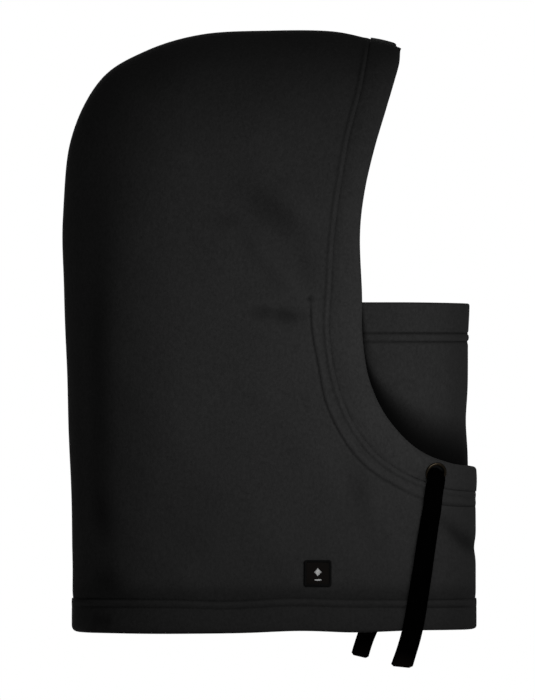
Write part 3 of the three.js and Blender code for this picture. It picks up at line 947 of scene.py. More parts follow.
@dataclass
class DrawcordTail:
    """One free end of the flat drawcord, from its eyelet to its heat-sealed tip."""

    form: HoodForm
    side: Side
    route: OutlineMM
    width: float = 14.4 * MM
    thick: float = 1.8 * MM
    clear: float = 3.1 * MM
    facing: float = 2.6
    twist: float = 0.0
    cut_slope: float = -0.11
    stations: int = 96
    around: int = 20

    def centreline(self) -> tuple[Points, Points]:
        """Work out the cord's middle line and the hood's outward direction along it.

        Returns:
            (n, 3) points and (n, 3) directions.
        """
        hang = spline(self.route, 60)
        x, z = hang[:, 0], hang[:, 1]
        flat = self.form.place(x, np.maximum(z, 1 * MM), self.side)[1]
        y = self.form.half(x, np.maximum(z, 1 * MM)) + self.clear
        points = np.stack([x, self.side.value * y, z], 1)
        at_x, at_z = np.array([EYELET_AT[0] * MM]), np.array([EYELET_AT[1] * MM])
        centre, normal = self.form.place(at_x, at_z, self.side)
        start = [centre[0] + normal[0] * 1.3 * MM + np.array([0, 0, 3.6 * MM]),
                 centre[0] + normal[0] * 1.6 * MM + np.array([0, 0, 0.6 * MM]),
                 centre[0] + normal[0] * 2.4 * MM + np.array([0, 0, -3.2 * MM])]
        flat = unit(flat + np.array([0, self.side.value * self.facing, 0]))
        points = np.vstack([start, points[4:]])
        outward = np.vstack([np.repeat(normal, 3, 0), flat[4:]])
        t = np.linspace(0, 1, self.stations)
        return along(points, t), unit(along(outward, t))

    def build(self) -> bpy.types.Object:
        line, outward = self.centreline()
        for _ in range(6):
            line[1:-1] = line[1:-1] * 0.5 + (line[:-2] + line[2:]) * 0.25
        tangent = unit(np.gradient(line, axis=0))
        run = np.concatenate([[0], np.cumsum(np.linalg.norm(np.diff(line, axis=0), axis=1))])
        level_across = unit(np.cross(tangent, outward))
        level_face = unit(np.cross(level_across, tangent))
        turn = (math.radians(self.twist) * smooth(run / run[-1]))[:, None]
        across = level_across * np.cos(turn) + level_face * np.sin(turn)
        face = unit(np.cross(across, tangent))
        narrow = 0.72 + 0.28 * smooth(run / (6 * MM))
        cup = 1.1 * MM * (1 - smooth(run / (14 * MM)))
        angle = np.linspace(0, 2 * math.pi, self.around + 1)
        wide = np.sign(np.cos(angle)) * np.abs(np.cos(angle)) ** 0.55 * self.width / 2
        deep = np.sign(np.sin(angle)) * np.abs(np.sin(angle)) ** 0.8 * self.thick / 2
        from_tip = run[-1] - run
        sealed = 0.75 * (1 - smooth(from_tip / (13 * MM))) + 0.25 * (1 - smooth(from_tip / (3 * MM)))
        puff = 1 + 0.04 * sealed - 0.3 * (from_tip < 0.5 * MM)
        half = wide[None, :] * (narrow * puff)[:, None]
        lean = (across[-1, 2] - self.cut_slope * across[-1, 0]) / -tangent[-1, 2]
        skew = lean * (1 - smooth(from_tip / (14 * MM)))
        sway = 0.35 * MM * np.sin(run * 95 + 1.0)
        grid = (line[:, None, :]
                + across[:, None, :] * half[..., None]
                + face[:, None, :] * (deep[None, :] * puff[:, None]
                                      - (cup[:, None] * (wide[None, :] / self.width * 2) ** 2)
                                      + sway[:, None])[..., None]
                + tangent[:, None, :] * (skew[:, None] * half)[..., None])
        piece = lay_grid(f"{self.side.word}_cord_tail", grid)
        self.mark(piece, run, sealed)
        close_tube(piece, cap_ends=True)
        smooth_shade(piece, 60)
        paint(piece, WEBBING)
        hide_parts(f"{self.side.word}_drawcord_tail")
        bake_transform(piece)
        LOG.info("%s cord tail: %.1f mm long", self.side.word, run[-1] / MM)
        return piece

    def mark(self, piece: bpy.types.Object, run: Points, sealed: Points) -> None:
        """Store the cord's own length and width as its UV map, and where its tip is melted.

        Args:
            piece: The cord, still an open grid.
            run: Distance along the cord for each row.
            sealed: How melted each row is.
        """
        columns = self.around + 1
        uv = piece.data.uv_layers["UVMap"].data
        for loop in piece.data.loops:
            row, column = divmod(loop.vertex_index, columns)
            uv[loop.index].uv = (column / self.around, run[row] * 10)
        layer = piece.data.attributes.new("sealed", "FLOAT", "POINT")
        layer.data.foreach_set("value", np.repeat(sealed, columns).astype(np.float32))


# ---------------------------------------------------------------- hood cloth


@dataclass
class SidePanel:
    """One half of the hood, cut from a single piece of fleece."""

    form: HoodForm
    side: Side
    thick: float = 1.8 * MM
    hem_top: float = 22.6 * MM
    coarse: int = 100
    fine: int = 48
    fine_band: float = 21 * MM
    back_samples: int = 60
    close_rows: float = 14 * MM
    crown_stop: float = 21.2 * MM

    def rows(self) -> tuple[Points, Points]:
        """Give the side-view lines that run across the panel.

        Returns:
            Their starts on the back and crown, and their ends at the front or the casing seam.
        """
        crown, seam = self.form.crown, self.form.casing_seam[::-1]
        neck_top = seam[0, 1]
        rising = crown[:self.back_samples]
        low = np.linspace(self.hem_top, neck_top - self.close_rows, 40)[:-1]
        levels = np.concatenate([low, np.linspace(neck_top - self.close_rows, neck_top, 22)])
        back = np.stack([np.interp(levels, rising[:, 1], rising[:, 0]), levels], 1)
        front = np.stack([np.full(levels.shape, self.form.front_x), levels], 1)
        t = np.linspace(0, 1, 196)[1:]
        crown_run = np.linspace(0, 1, len(crown))
        begin = np.interp(neck_top, rising[:, 1], crown_run[:self.back_samples])
        stop = 1 - self.crown_stop / np.linalg.norm(np.diff(crown, axis=0), axis=1).sum()
        starts = np.vstack([back, along(crown, begin + (stop - begin) * t)])
        ends = np.vstack([front, along(seam, t * 0.9985)])
        return starts, ends

    def across(self, width: float) -> Points:
        """Spread the columns of one row: close together at both ends, closest at the seam."""
        band = min(0.5, self.fine_band / max(width, 1e-6))
        turn = 0.93 * math.pi
        wide = (1 - np.cos(turn * np.linspace(0, 1, self.coarse + 1))) / (1 - math.cos(turn))
        return np.concatenate([wide[:-1] * (1 - band), np.linspace(1 - band, 1, self.fine)])

    def build(self) -> bpy.types.Object:
        """Lay the sheet over the hood's form and give it its thickness."""
        starts, ends = self.rows()
        width = np.linalg.norm(ends - starts, axis=1)
        share = np.stack([self.across(w) for w in width])
        flat = starts[:, None, :] + (ends - starts)[:, None, :] * share[..., None]
        x, z = flat[..., 0].ravel(), flat[..., 1].ravel()
        lift = self.form.relief(x, z, self.side) + self.form.seams(x, z) + self.edges(x, z)
        points, normal = self.form.place(x, z, self.side, lift)
        shape = (*flat.shape[:2], 3)
        points, normal = points.reshape(shape), normal.reshape(shape)
        piece = lay_grid(f"{self.side.word}_panel_cloth", points)
        store_painted_shade(piece, self.form.painted_shade_map(x, z, self.side))
        face_like(piece, points, normal)
        apply_modifier(piece, "SOLIDIFY", thickness=self.thick, offset=-1.0, use_even_offset=False)
        smooth_shade(piece, 70)
        paint(piece, FLEECE)
        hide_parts(f"{self.side.word}_side_panel")
        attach(piece, "hood")
        return piece

    def edges(self, x: Points, z: Points) -> Points:
        """The dip beside the middle seams and beside the stitched hem."""
        crown = measure(self.form.crown, x, z)[0]
        seam = np.minimum(crown, self.form.front_x - x)
        hem = z - self.hem_top
        dip = -1.0 * MM * bump(hem, 3.5 * MM) - 0.4 * MM * bump(hem, 0.8 * MM)
        return -0.5 * MM * bump(seam, 0.35 * MM) + dip * (0.35 + 0.65 * smooth(seam / (12 * MM)))


@dataclass
class FaceCasing:
    """The turned edge round one side of the face opening, with the cord inside it."""

    form: HoodForm
    side: Side
    thick: float = 5.2 * MM
    flat_share: float = 0.87
    turn_share: float = 0.165
    stations: int = 280

    def loop(self) -> tuple[Points, Points]:
        """Give the casing's section.

        Returns:
            How far across each point lies, from the seam to the opening, and how deep.
        """
        front = np.linspace(0, 1, 24)
        turn = np.linspace(math.pi / 2, -math.pi / 2, 9)[1:-1]
        half = self.thick / 2
        edge = self.flat_share + self.turn_share * np.cos(turn)
        outer = np.stack([front * self.flat_share, np.zeros(24)], 1)
        rounded = np.stack([edge, half - half * np.sin(turn)], 1)
        inner = np.stack([front[::-2] * self.flat_share, np.full(12, self.thick)], 1)
        closed = np.vstack([outer, rounded, inner, outer[:1]])
        return closed[:, 0], closed[:, 1]

    def build(self) -> bpy.types.Object:
        """Roll the casing along the seam and the opening's edge."""
        t = (1 - np.cos(math.pi * np.linspace(0, 1, self.stations))) / 2
        t = 0.35 * t + 0.65 * np.linspace(0, 1, self.stations)
        share, depth = self.loop()
        seam, edge = along(self.form.casing_seam, t), along(self.form.opening, t)
        flat = seam[:, None, :] + (edge - seam)[:, None, :] * share[None, :, None]
        x, z = flat[..., 0].ravel(), flat[..., 1].ravel()
        outer = np.broadcast_to(depth < self.thick * 0.55, flat.shape[:2]).ravel()
        lift = self.form.relief(x, z, self.side) + outer * self.form.seams(x, z)
        lift = lift + self.form.eyelet_pull(x, z)
        lift = lift + self.puff(x, z, share, outer) - np.broadcast_to(depth, flat.shape[:2]).ravel()
        points, _ = self.form.place(x, z, self.side, lift)
        piece = lay_grid(f"{self.side.word}_casing_cloth", points.reshape(*flat.shape[:2], 3))
        store_painted_shade(piece, self.form.painted_shade_map(x, z, self.side) * outer)
        close_tube(piece, cap_ends=True)
        smooth_shade(piece, 70)
        paint(piece, EDGE_FLEECE_PAINTED_LIGHT)
        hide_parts(f"{self.side.word}_face_casing")
        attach(piece, "hood")
        return piece

    def puff(self, x: Points, z: Points, share: Points, outer: Points) -> Points:
        """The roll of the casing over its cord, with the pull of each stitch along its seam."""
        across = np.broadcast_to(share, (self.stations, len(share))).ravel()
        toward_edge = np.clip((across - 0.4) / 0.6, 0, 1)
        roll = 1.1 * MM * np.sin(math.pi / 2 * np.clip(across / 0.4, 0, 1)) - 2.1 * MM * toward_edge**2
        pull = 0.16 * MM * np.sin(x * 420 + z * 510) * bump(across - 0.12, 0.16)
        return outer * (roll + pull) * self.form.fade_to_middle(x, z)


@dataclass
class NeckHem:
    """The turned edge round the neck, held by two rows of stitches."""

    form: HoodForm
    height: float = 22.6 * MM
    thick: float = 3.4 * MM
    upper_row: float = 22.3 * MM
    lower_row: float = 16.8 * MM
    fold_z: float = 1.7 * MM
    back_corner: float = 4.6 * MM
    front_corner: float = 2.6 * MM
    stations: int = 300

    def plan(self) -> Points:
        """Give the hem's places along X, crowded together at both ends."""
        back = self.form.crown[0, 0]
        t = (1 - np.cos(math.pi * np.linspace(0, 1, self.stations))) / 2
        return back + (self.form.front_x - back) * t

    def section(self) -> tuple[Points, Points]:
        """Give the hem's section as heights and depths, from its top round the fold and back."""
        outer = np.linspace(self.height, self.fold_z, 40)
        turn = np.linspace(0, math.pi, 9)[1:-1]
        half = self.thick / 2
        inner = np.linspace(self.fold_z, self.height, 12)
        z = np.concatenate([outer, half - half * np.sin(turn), inner, outer[:1]])
        depth = np.concatenate([np.zeros(40), half - half * np.cos(turn), np.full(12, self.thick), [0]])
        return z, depth

    def rows(self, z: Points) -> Points:
        """The grooves of the two stitch rows and the ridge between them."""
        middle = (self.upper_row + self.lower_row) / 2
        lift = -0.9 * MM * bump(z - self.upper_row, 0.9 * MM) - 0.4 * MM * bump(z - self.lower_row, 0.8 * MM)
        return lift + 0.7 * MM * bump(z - middle, 1.9 * MM) + 0.45 * MM * bump(z - 8 * MM, 5 * MM)

    def painted_shade_map(self, points: Points) -> Points:
        """Painted shade along the rows, at the lower fold and in creases, with some painted shade over the
        whole hem.
        """
        x, z = points[..., 0].ravel(), points[..., 2].ravel()
        rise = self.form.hem_rise(x, z)
        clear = 1 - 0.4 * bump(z - rise - self.upper_row, 0.8 * MM)
        clear *= 1 - 0.28 * bump(z - rise - self.lower_row, 0.7 * MM)
        for fold in SHARED_FOLDS:
            clear *= 1 - fold.painted_shade * fold.shape(x, z) * (1 - bump(z - 19.5 * MM, 2 * MM))
        return 1 - clear * 0.86 * (1 - 0.3 * bump(z, 2.5 * MM))

    def half_ring(self, side: Side) -> Points:
        """One side of the hem as a grid of points, from the back to the front."""
        x = self.plan()
        z, depth = self.section()
        gx, gz = np.meshgrid(x, z, indexing="ij")
        flat_x, flat_z = gx.ravel(), gz.ravel()
        deep = np.broadcast_to(depth, gx.shape).ravel()
        outer = deep < self.thick * 0.5
        lift = self.form.relief(flat_x, flat_z, side) * smooth(flat_z / (26 * MM)) + outer * self.rows(flat_z)
        ends = np.minimum(flat_x - x[0], x[-1] - flat_x)
        lift = lift * (0.12 + 0.88 * smooth(ends / (10 * MM)))
        points, _ = self.form.place(flat_x, flat_z, side, lift - deep)
        points[:, 0] += self.corner_turn(flat_x, flat_z, ends)
        points[:, 2] = flat_z + self.wave(flat_x, flat_z) + self.form.hem_rise(flat_x, flat_z)
        return points.reshape(*gx.shape, 3)

    def corner_turn(self, x: Points, z: Points, ends: Points) -> Points:
        """How far the lower corners turn in along X, more at the back than at the front."""
        corner = np.where(x < 0, self.back_corner, self.front_corner)
        low = np.clip(1 - z / corner, 0, 1)
        share = np.clip(1 - ends / (3 * corner), 0, 1)
        return -np.sign(x) * corner * (1 - np.sqrt(1 - low**2)) * share

    @staticmethod
    def wave(x: Points, z: Points) -> Points:
        """The slight rise and fall of the lower edge: up to the front, with a swell and a sag."""
        front = 2.0 * MM * smooth((x - 45 * MM) / (60 * MM))
        swell = 1.5 * MM * bump(x - 20 * MM, 30 * MM)
        sag = 0.5 * MM * bump(x + 82 * MM, 40 * MM)
        return (front + swell - sag) * (1 - smooth(z / (20 * MM)))

    def build(self) -> bpy.types.Object:
        """Join the two half rings and dress the hem."""
        left = self.half_ring(Side.LEFT)
        right = self.half_ring(Side.RIGHT)[::-1]
        ring = np.concatenate([left, right[1:]], 0)
        piece = lay_grid("neck_hem_cloth", ring)
        store_painted_shade(piece, self.painted_shade_map(ring))
        close_tube(piece, cap_ends=False)
        smooth_shade(piece, 70)
        paint(piece, HEM_FLEECE_PAINTED_SHADE)
        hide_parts("neck_hem")
        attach(piece, "hood")
        return piece


# ---------------------------------------------------------------- mask


@dataclass
class FaceMask:
    """The fleece panel that stands inside the front of the neck, with its turned top edge."""

    front_x: float = 136.2 * MM
    half_width: float = 54 * MM
    curve: float = 54 * MM
    back_x: float = 30 * MM
    thick: float = 1.8 * MM
    hem_thick: float = 3.2 * MM
    hem_z: float = 202.8 * MM
    top_z: float = 230 * MM
    foot_z: float = 93 * MM
    row_gap: float = 5.9 * MM
    travel: float = 60 * MM
    lip_from: int = 100
    stations: int = 260

    def plan(self, t: Points, depth: Points | float) -> tuple[Points, Points]:
        """Give places along the mask seen from above.

        Args:
            t: From -1 at the right end to 1 at the left.
            depth: How far inwards of its outer face.

        Returns:
            X and Y.
        """
        straight = self.front_x - self.curve - self.back_x
        quarter = math.pi / 2 * self.curve
        run = np.abs(t) * (straight + quarter)
        angle = np.minimum(run, quarter) / self.curve
        past = np.maximum(run - quarter, 0)
        x = self.front_x - self.curve - past + (self.curve - depth) * np.cos(angle) * (past == 0)
        return x, np.sign(t) * (self.half_width - depth) * np.sin(angle)

    def sway(self, t: Points, z: Points) -> Points:
        """How far the soft wall leans in or out."""
        inward = 0.35 * MM * smooth((z - self.foot_z) / (27 * MM)) + 1.45 * MM * bump(z - 148 * MM, 17 * MM)
        lean = 1.1 * MM * smooth((z - 200 * MM) / (30 * MM)) - inward
        ripple = 0.6 * MM * np.sin(t * 9 + z * 24) + 0.4 * MM * np.sin(t * 17 - z * 40 + 1)
        near_foot = np.clip(1 - (z - self.lip_height(t)) / (32 * MM), 0, 1.6)
        side = smooth(np.abs(t) / 0.25)
        return lean + ripple * side - 5.5 * MM * near_foot**1.6 * side

    def lip_height(self, t: Points) -> Points:
        """Height of the hood's front edge beside each place along the mask."""
        edge = spline(OPENING_EDGE, 240)[self.lip_from:]
        x, _ = self.plan(t, 0.0)
        return np.interp(x, edge[:, 0], edge[:, 1])

    def painted_shade_map(self, t: Points, z: Points) -> Points:
        """Painted shadow where the mask goes down behind the hood's front edge: how much darker its colour is
        made.
        """
        above = z - self.lip_height(t)
        reach = (7 + 32 * smooth(np.clip((0.215 - z) / 0.07, 0, 1))) * MM
        return 0.98 * (1 - smooth(above / reach) ** 1.5)

    def stand(self, t: Points, z: Points, depth: Points | float) -> Points:
        """Put points of the mask in place."""
        x, y = self.plan(t, depth - self.sway(t, z))
        drop = -1.2 * MM * smooth(np.abs(t) / 0.6) * smooth((z - 0.2) / 0.03)
        return np.stack([x, y, z - drop * 0.6], -1)

    def build_panel(self) -> bpy.types.Object:
        """Lay the panel from its curved foot up to the hem."""
        t = np.linspace(-1, 1, self.stations)
        foot = spline(MASK_FOOT, 200)
        low = np.interp(self.plan(t, 0.0)[0], foot[:, 0], foot[:, 1])
        rise = np.linspace(0, 1, 110)[:, None]
        z = low[None, :] + (self.hem_z - low)[None, :] * rise
        tt = np.broadcast_to(t, z.shape)
        groove = -0.5 * MM * bump(z - self.hem_z, 1.0 * MM)
        points = self.stand(tt, z, -groove)
        piece = lay_grid("mask_panel_cloth", points)
        # painted shadow under the hood's front edge, and painted shade in the hem's groove
        store_painted_shade(piece, np.maximum(self.painted_shade_map(tt, z), 0.35 * bump(z - self.hem_z, 0.8 * MM)))
        outward = points - np.array([self.front_x - self.curve, 0, 0]) * np.array([1, 1, 0])
        outward[..., 2] = 0
        face_like(piece, points, outward)
        apply_modifier(piece, "SOLIDIFY", thickness=self.thick, offset=-1.0)
        smooth_shade(piece, 70)
        paint(piece, MASK_FLEECE_PAINTED_SHADE)
        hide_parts("mask_panel")
        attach(piece, "hood")
        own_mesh(piece)
        return piece

    def build_hem(self) -> bpy.types.Object:
        """Roll the turned hem along the top."""
        outer = np.linspace(self.hem_z, self.top_z - 1.6 * MM, 44)
        turn = np.linspace(0, math.pi, 9)[1:-1]
        half = self.hem_thick / 2
        inner = outer[::-3]
        z = np.concatenate([outer, self.top_z - half + half * np.sin(turn), inner, outer[:1]])
        depth = np.concatenate([np.zeros(44), half - half * np.cos(turn),
                                np.full(len(inner), self.hem_thick), [0]])
        lower, upper = self.row_heights()
        rows = (-0.8 * MM * bump(z - lower, 0.85 * MM) - 0.8 * MM * bump(z - upper, 0.85 * MM)
                + 0.5 * MM * bump(z - (lower + upper) / 2, 1.8 * MM)) * (depth < half)
        t = np.linspace(-1, 1, self.stations)
        tt, zz = np.meshgrid(t, z, indexing="ij")
        points = self.stand(tt, zz, np.broadcast_to(depth - rows, tt.shape))
        piece = lay_grid("mask_hem_cloth", points)
        # painted shade in the grooves of the hem's two stitch rows
        painted_row_shade = 0.35 * bump(zz - lower, 0.8 * MM) + 0.5 * bump(zz - upper, 0.8 * MM)
        store_painted_shade(piece, np.maximum(self.painted_shade_map(tt, zz), painted_row_shade))
        close_tube(piece, cap_ends=True)
        smooth_shade(piece, 70)
        paint(piece, MASK_FLEECE_PAINTED_SHADE)
        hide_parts("mask_top_hem")
        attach(piece, "mask")
        return piece

    def row_heights(self) -> tuple[float, float]:
        """Heights of the hem's two rows of stitches."""
        lower = self.hem_z + 0.3 * MM
        return lower, lower + self.row_gap

    def sew(self) -> None:
        """Sew the two rows along the hem."""
        t = np.linspace(-0.995, 0.995, 300)
        for word, z in zip(("lower", "upper"), self.row_heights()):
            height = np.full(t.shape, z)
            line = self.stand(t, height, 0.55 * MM)
            inside = self.stand(t, height, 3 * MM)
            row = stitch_row(f"mask_hem_stitches_{word}", line, unit(line - inside))
            paint(row, THREAD)
            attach(row, "mask")

    def build(self) -> None:
        """Make the panel, its hem and its stitches."""
        self.build_panel()
        self.build_hem()
        self.sew()
        LOG.info("mask: panel, hem and two stitch rows")


# ---------------------------------------------------------------- sewing on the hood


@dataclass
class Sewing:
    """Rows of stitches over the hood's cloth."""

    form: HoodForm
    sunk: float = -0.02 * MM

    def on_cloth(self, name: str, line: Points, side: Side, drop: Points | float = 0.0,
                 **thread: float) -> bpy.types.Object:
        """Sew a row along a side-view line on one half.

        Args:
            name: The row's name.
            line: (n, 2) side-view points.
            side: Which half.
            drop: How far the cloth is pulled down along the row.
            **thread: Pitch, length and radius of the stitches.

        Returns:
            The row.
        """
        x, z = line[:, 0], line[:, 1]
        lift = self.form.relief(x, z, side) + self.form.seams(x, z) - drop + self.sunk
        points, normal = self.form.place(x, z, side, lift)
        row = stitch_row(name, points, normal, **thread)
        paint(row, THREAD)
        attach(row, "hood")
        return row

    def sew_side(self, side: Side) -> None:
        """Sew the casing's two rows and the mask's seam on one half."""
        seam = along(self.form.casing_seam, np.linspace(0.004, 0.996, 400))
        self.on_cloth(f"{side.word}_casing_stitches", seam, side, radius=0.2 * MM)
        mask = along(self.form.mask_seam, np.linspace(0.004, 0.996, 300))
        self.on_cloth(f"{side.word}_mask_seam_stitches", mask, side)

    def sew_hem(self, hem: NeckHem) -> None:
        """Sew both rows round the neck hem."""
        for word, z in (("upper", hem.upper_row), ("lower", hem.lower_row)):
            for side in Side:
                x = hem.plan()[24:-24]
                height = np.full(x.shape, z)
                lift = (self.form.relief(x, height, side) * smooth(height / (26 * MM))
                        + hem.rows(height) + self.sunk)
                points, normal = self.form.place(x, height, side, lift)
                row = stitch_row(f"{side.word}_hem_stitches_{word}", points, normal)
                paint(row, THREAD)
                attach(row, "hood")

    def build(self, hem: NeckHem) -> None:
        """Sew all the rows."""
        for side in Side:
            self.sew_side(side)
        self.sew_hem(hem)
        LOG.info("sewing: casing, mask seam and hem rows on both sides")


# ---------------------------------------------------------------- eyelets, label, tape


@dataclass
class Eyelet:
    """A rolled metal eyelet where the cord leaves the casing, tipped down by the cord's pull."""

    form: HoodForm
    side: Side
    outer: float = 7.7 * MM
    hole: float = 5.7 * MM

    def profile(self) -> list[tuple[float, float]]:
        """Give the rolled section as radius and height above the cloth."""
        ring = [(0.5 * (self.outer + self.hole) + 0.25 * MM, 0.1 * MM)]
        middle, half = (self.outer + self.hole) / 2, (self.outer - self.hole) / 2 + 0.12 * MM
        roll = [(middle + half * math.cos(a), 0.35 * MM + 0.95 * MM * math.sin(a))
                for a in np.linspace(-0.35, math.pi, 14)]
        barrel = [(self.hole, -2.2 * MM), (self.hole + 0.45 * MM, -2.2 * MM), (self.hole + 0.45 * MM, 0.0)]
        return roll + barrel + ring

    def build(self) -> None:
        """Make the eyelet and the bit of cord that fills its hole."""
        ring = self.spin(f"{self.side.word}_eyelet_ring", self.profile())
        paint(ring, BRASS)
        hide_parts(f"{self.side.word}_eyelet")
        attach(ring, "hood")
        dome = [(0.001 * MM, 0.35 * MM)] + [
            (self.hole * math.sin(a), -0.6 * MM + 0.95 * MM * math.cos(a)) for a in np.linspace(0.25, 1.5, 8)]
        fill = self.spin(f"{self.side.word}_cord_in_eyelet", [*dome, (0.001 * MM, -0.9 * MM)])
        paint(fill, CORD_FILL)
        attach(fill, "hood")

    def spin(self, name: str, profile: list[tuple[float, float]]) -> bpy.types.Object:
        """Spin a closed section and seat it on the casing.

        Args:
            name: The piece's name.
            profile: Radius and height of each point round the section.

        Returns:
            The piece in place.
        """
        deselect_all()
        bpy.ops.mesh.primitive_circle_add(vertices=len(profile), radius=1, fill_type="NOTHING")
        piece = bpy.context.object
        piece.name = name
        for vertex, (radius, height) in zip(piece.data.vertices, profile):
            vertex.co = (radius, 0, height)
        edit_all(piece)
        bpy.ops.mesh.spin(steps=56, angle=2 * math.pi, center=(0, 0, 0), axis=(0, 0, 1))
        bpy.ops.mesh.select_all(action="SELECT")
        bpy.ops.mesh.remove_doubles(threshold=1e-6)
        bpy.ops.mesh.normals_make_consistent(inside=False)
        bpy.ops.object.mode_set(mode="OBJECT")
        centre, facing = self.seat()
        piece.data.transform(Vector((0, 0, 1)).rotation_difference(facing).to_matrix().to_4x4())
        piece.data.transform(Matrix.Translation(centre))
        smooth_shade(piece, 60)
        return piece

    def seat(self) -> tuple[Vector, Vector]:
        """Find where the eyelet sits.

        Returns:
            Its middle, and the way the pulled cloth faces there.
        """
        step = 3 * MM
        x = EYELET_AT[0] * MM + np.array([0, step, -step, 0, 0])
        z = EYELET_AT[1] * MM + np.array([0, 0, 0, step, -step])
        lift = self.form.relief(x, z, self.side) + self.form.eyelet_pull(x, z) + 0.95 * MM
        points, normal = self.form.place(x, z, self.side, lift)
        facing = Vector(points[1] - points[2]).cross(Vector(points[3] - points[4])).normalized()
        if facing.dot(Vector(normal[0])) < 0:
            facing.negate()
        return Vector(points[0]), facing


@dataclass
class SideLabel:
    """The small square woven patch with its overlocked edge and a plain woven mark."""

    form: HoodForm
    at: tuple[float, float] = (30.5 * MM, 41.6 * MM)
    size: float = 18.2 * MM
    thick: float = 0.8 * MM

    def surface(self, u: Points, v: Points, lift: Points | float) -> tuple[Points, Points]:
        """Put the patch's own points, from -0.5 to 0.5 each way, on the hood."""
        x = self.at[0] + u * self.size
        z = self.at[1] + v * self.size
        cloth = self.form.relief(x, z, Side.RIGHT)
        return self.form.place(x, z, Side.RIGHT, cloth + lift)

    def build(self) -> None:
        """Make the patch, its edge and its mark."""
        t = np.linspace(-0.5, 0.5, 33)
        v, u = np.meshgrid(t, t, indexing="ij")
        dome = 0.25 * MM * (1 - (2 * u.ravel()) ** 4) * (1 - (2 * v.ravel()) ** 4)
        points, normal = self.surface(u.ravel(), v.ravel(), self.thick + dome)
        points, normal = points.reshape(33, 33, 3), normal.reshape(33, 33, 3)
        patch = lay_grid("label_patch", points)
        face_like(patch, points, normal)
        apply_modifier(patch, "SOLIDIFY", thickness=self.thick, offset=-1.0)
        smooth_shade(patch, 50)
        paint(patch, LABEL_WEAVE)
        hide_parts("side_label")
        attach(patch, "hood")
        self.edge()
        self.mark()
        LOG.info("label: patch, edge stitches and mark")

    def edge(self) -> None:
        """Wrap the overlock stitches round the patch's edge."""
        count = 34
        t = (np.arange(count) + 0.5) / count - 0.5
        flat = np.full(count, 0.5)
        u = np.concatenate([t, flat, t, -flat]) * 0.955
        v = np.concatenate([-flat, t, flat, t]) * 0.955
        away = np.concatenate([np.tile([0, -1], (count, 1)), np.tile([1, 0], (count, 1)),
                               np.tile([0, 1], (count, 1)), np.tile([-1, 0], (count, 1))])
        points, normal = self.surface(u, v, self.thick + 0.12 * MM)
        x = unit(np.stack([away[:, 0], np.zeros(len(away)), away[:, 1]], 1))
        x = unit(x - (x * normal).sum(1, keepdims=True) * normal)
        y = np.cross(normal, x)
        row = copies("label_edge_stitches", thread_stitch(2.0 * MM, 0.34 * MM), points,
                     np.stack([x, y, normal], 1))
        paint(row, LABEL_EDGE)
        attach(row, "hood")

    def mark(self) -> None:
        """Embroider a plain diamond over a bar, as close rows of thread."""
        lines = []
        for v in np.linspace(-0.10, 0.22, 13):
            half = 0.16 - abs(v - 0.06)
            lines.append((0.0, v, 2 * half * self.size))
        for v in (-0.27, -0.24):
            lines.append((0.0, v, 0.30 * self.size))
        lines = [line for line in lines if line[2] > 0.4 * MM]
        u, v, length = (np.array(c) for c in zip(*lines))
        points, normal = self.surface(u, v, self.thick + 0.28 * MM)
        x = np.tile([1.0, 0, 0], (len(u), 1))
        x = unit(x - (x * normal).sum(1, keepdims=True) * normal)
        y = np.cross(normal, x)
        axes = np.stack([x * (length / MM)[:, None], y, normal], 1)
        row = copies("label_mark_stitches", thread_stitch(1.0 * MM, 0.26 * MM), points, axes)
        paint(row, LABEL_MARK)
        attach(row, "hood")


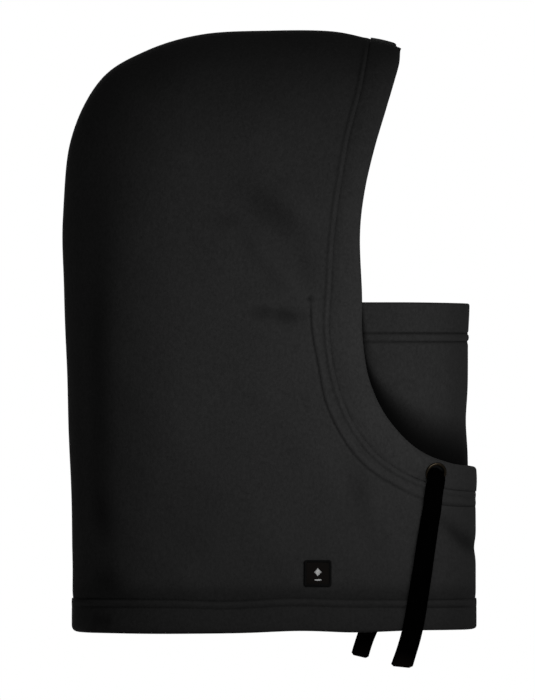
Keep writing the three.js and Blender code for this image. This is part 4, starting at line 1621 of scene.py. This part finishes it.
@dataclass
class InnerTrim:
    """The tape over the crown seam and the blank care label inside the hood."""

    form: HoodForm
    tape_half: float = 5 * MM

    def build_tape(self) -> None:
        """Lay the tape along the inside of the back and crown seam."""
        low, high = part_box("crown_seam_tape")
        crown = self.form.crown
        run = np.linspace(0, 1, 400)
        line = along(crown, run)
        keep = (line[:, 1] > low.z + 1 * MM) & (line[:, 0] < high.x - 1 * MM)
        line = line[keep]
        step = unit(np.gradient(line, axis=0))
        inward = np.stack([step[:, 1], -step[:, 0]], 1)
        y = np.linspace(-1, 1, 15) * self.tape_half
        deep = 2.7 * MM + 0.25 * MM * np.cos(np.linspace(-1, 1, 15) * math.pi / 2)
        grid = np.empty((len(line), 15, 3))
        grid[..., 0] = line[:, None, 0] + inward[:, None, 0] * deep
        grid[..., 1] = y
        grid[..., 2] = line[:, None, 1] + inward[:, None, 1] * deep
        tape = lay_grid("crown_tape_cloth", grid)
        face_like(tape, grid, np.repeat(np.stack([inward[:, 0], 0 * inward[:, 0], inward[:, 1]], 1)[:, None],
                                        15, 1))
        apply_modifier(tape, "SOLIDIFY", thickness=0.8 * MM, offset=1.0)
        smooth_shade(tape, 60)
        paint(tape, TAPE_WEAVE)
        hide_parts("crown_seam_tape")
        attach(tape, "hood")

    def build_care_label(self) -> None:
        """Hang the folded care label from the back of the neck."""
        low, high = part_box("care_label")
        t = np.linspace(0, 1, 40)
        z = high.z - (high.z - low.z) * t
        x = (low.x + high.x) / 2 + 1.6 * MM * t**2 + 0.5 * MM * np.sin(t * 7)
        y = np.linspace(low.y, high.y, 20)
        grid = np.empty((40, 20, 3))
        grid[..., 0] = x[:, None] + 0.5 * MM * np.cos(y / high.y * 1.4)[None, :]
        grid[..., 1] = y[None, :]
        grid[..., 2] = z[:, None]
        label = lay_grid("care_label_satin", grid)
        face_like(label, grid, np.broadcast_to(np.array([1.0, 0, 0]), grid.shape))
        apply_modifier(label, "SOLIDIFY", thickness=0.45 * MM, offset=-1.0)
        smooth_shade(label, 60)
        paint(label, CARE_SATIN)
        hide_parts("care_label")
        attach(label, "hood")

    def build(self) -> None:
        """Make both trims."""
        self.build_tape()
        self.build_care_label()
        LOG.info("inner trim: crown tape and care label")


# ---------------------------------------------------------------- assembly


def main() -> None:
    """Build the balaclava, piece by piece."""
    logging.basicConfig(level=logging.INFO, format="%(name)s: %(message)s")
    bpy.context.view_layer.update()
    form = HoodForm()
    Studio().build()
    tails = [DrawcordTail(form, Side.RIGHT, NEAR_TAIL),
             DrawcordTail(form, Side.LEFT, FAR_TAIL, facing=0.6, twist=34, cut_slope=-0.25)]
    for tail in tails:
        tail.build()
    hem = NeckHem(form)
    ring = hem.build()
    LOG.info("neck hem: %d points", len(ring.data.vertices))
    for side in Side:
        panel = SidePanel(form, side).build()
        casing = FaceCasing(form, side).build()
        Eyelet(form, side).build()
        LOG.info("%s half: panel of %d points", side.word, len(panel.data.vertices))
    FaceMask().build()
    Sewing(form).build(hem)
    SideLabel(form).build()
    InnerTrim(form).build()
    repaint_node("drawcord_in_casing", TAPE_WEAVE)
    for side in Side:
        repaint_node(f"{side.word}_eyelet_washer", BRASS)


if __name__ == "__main__":
    main()
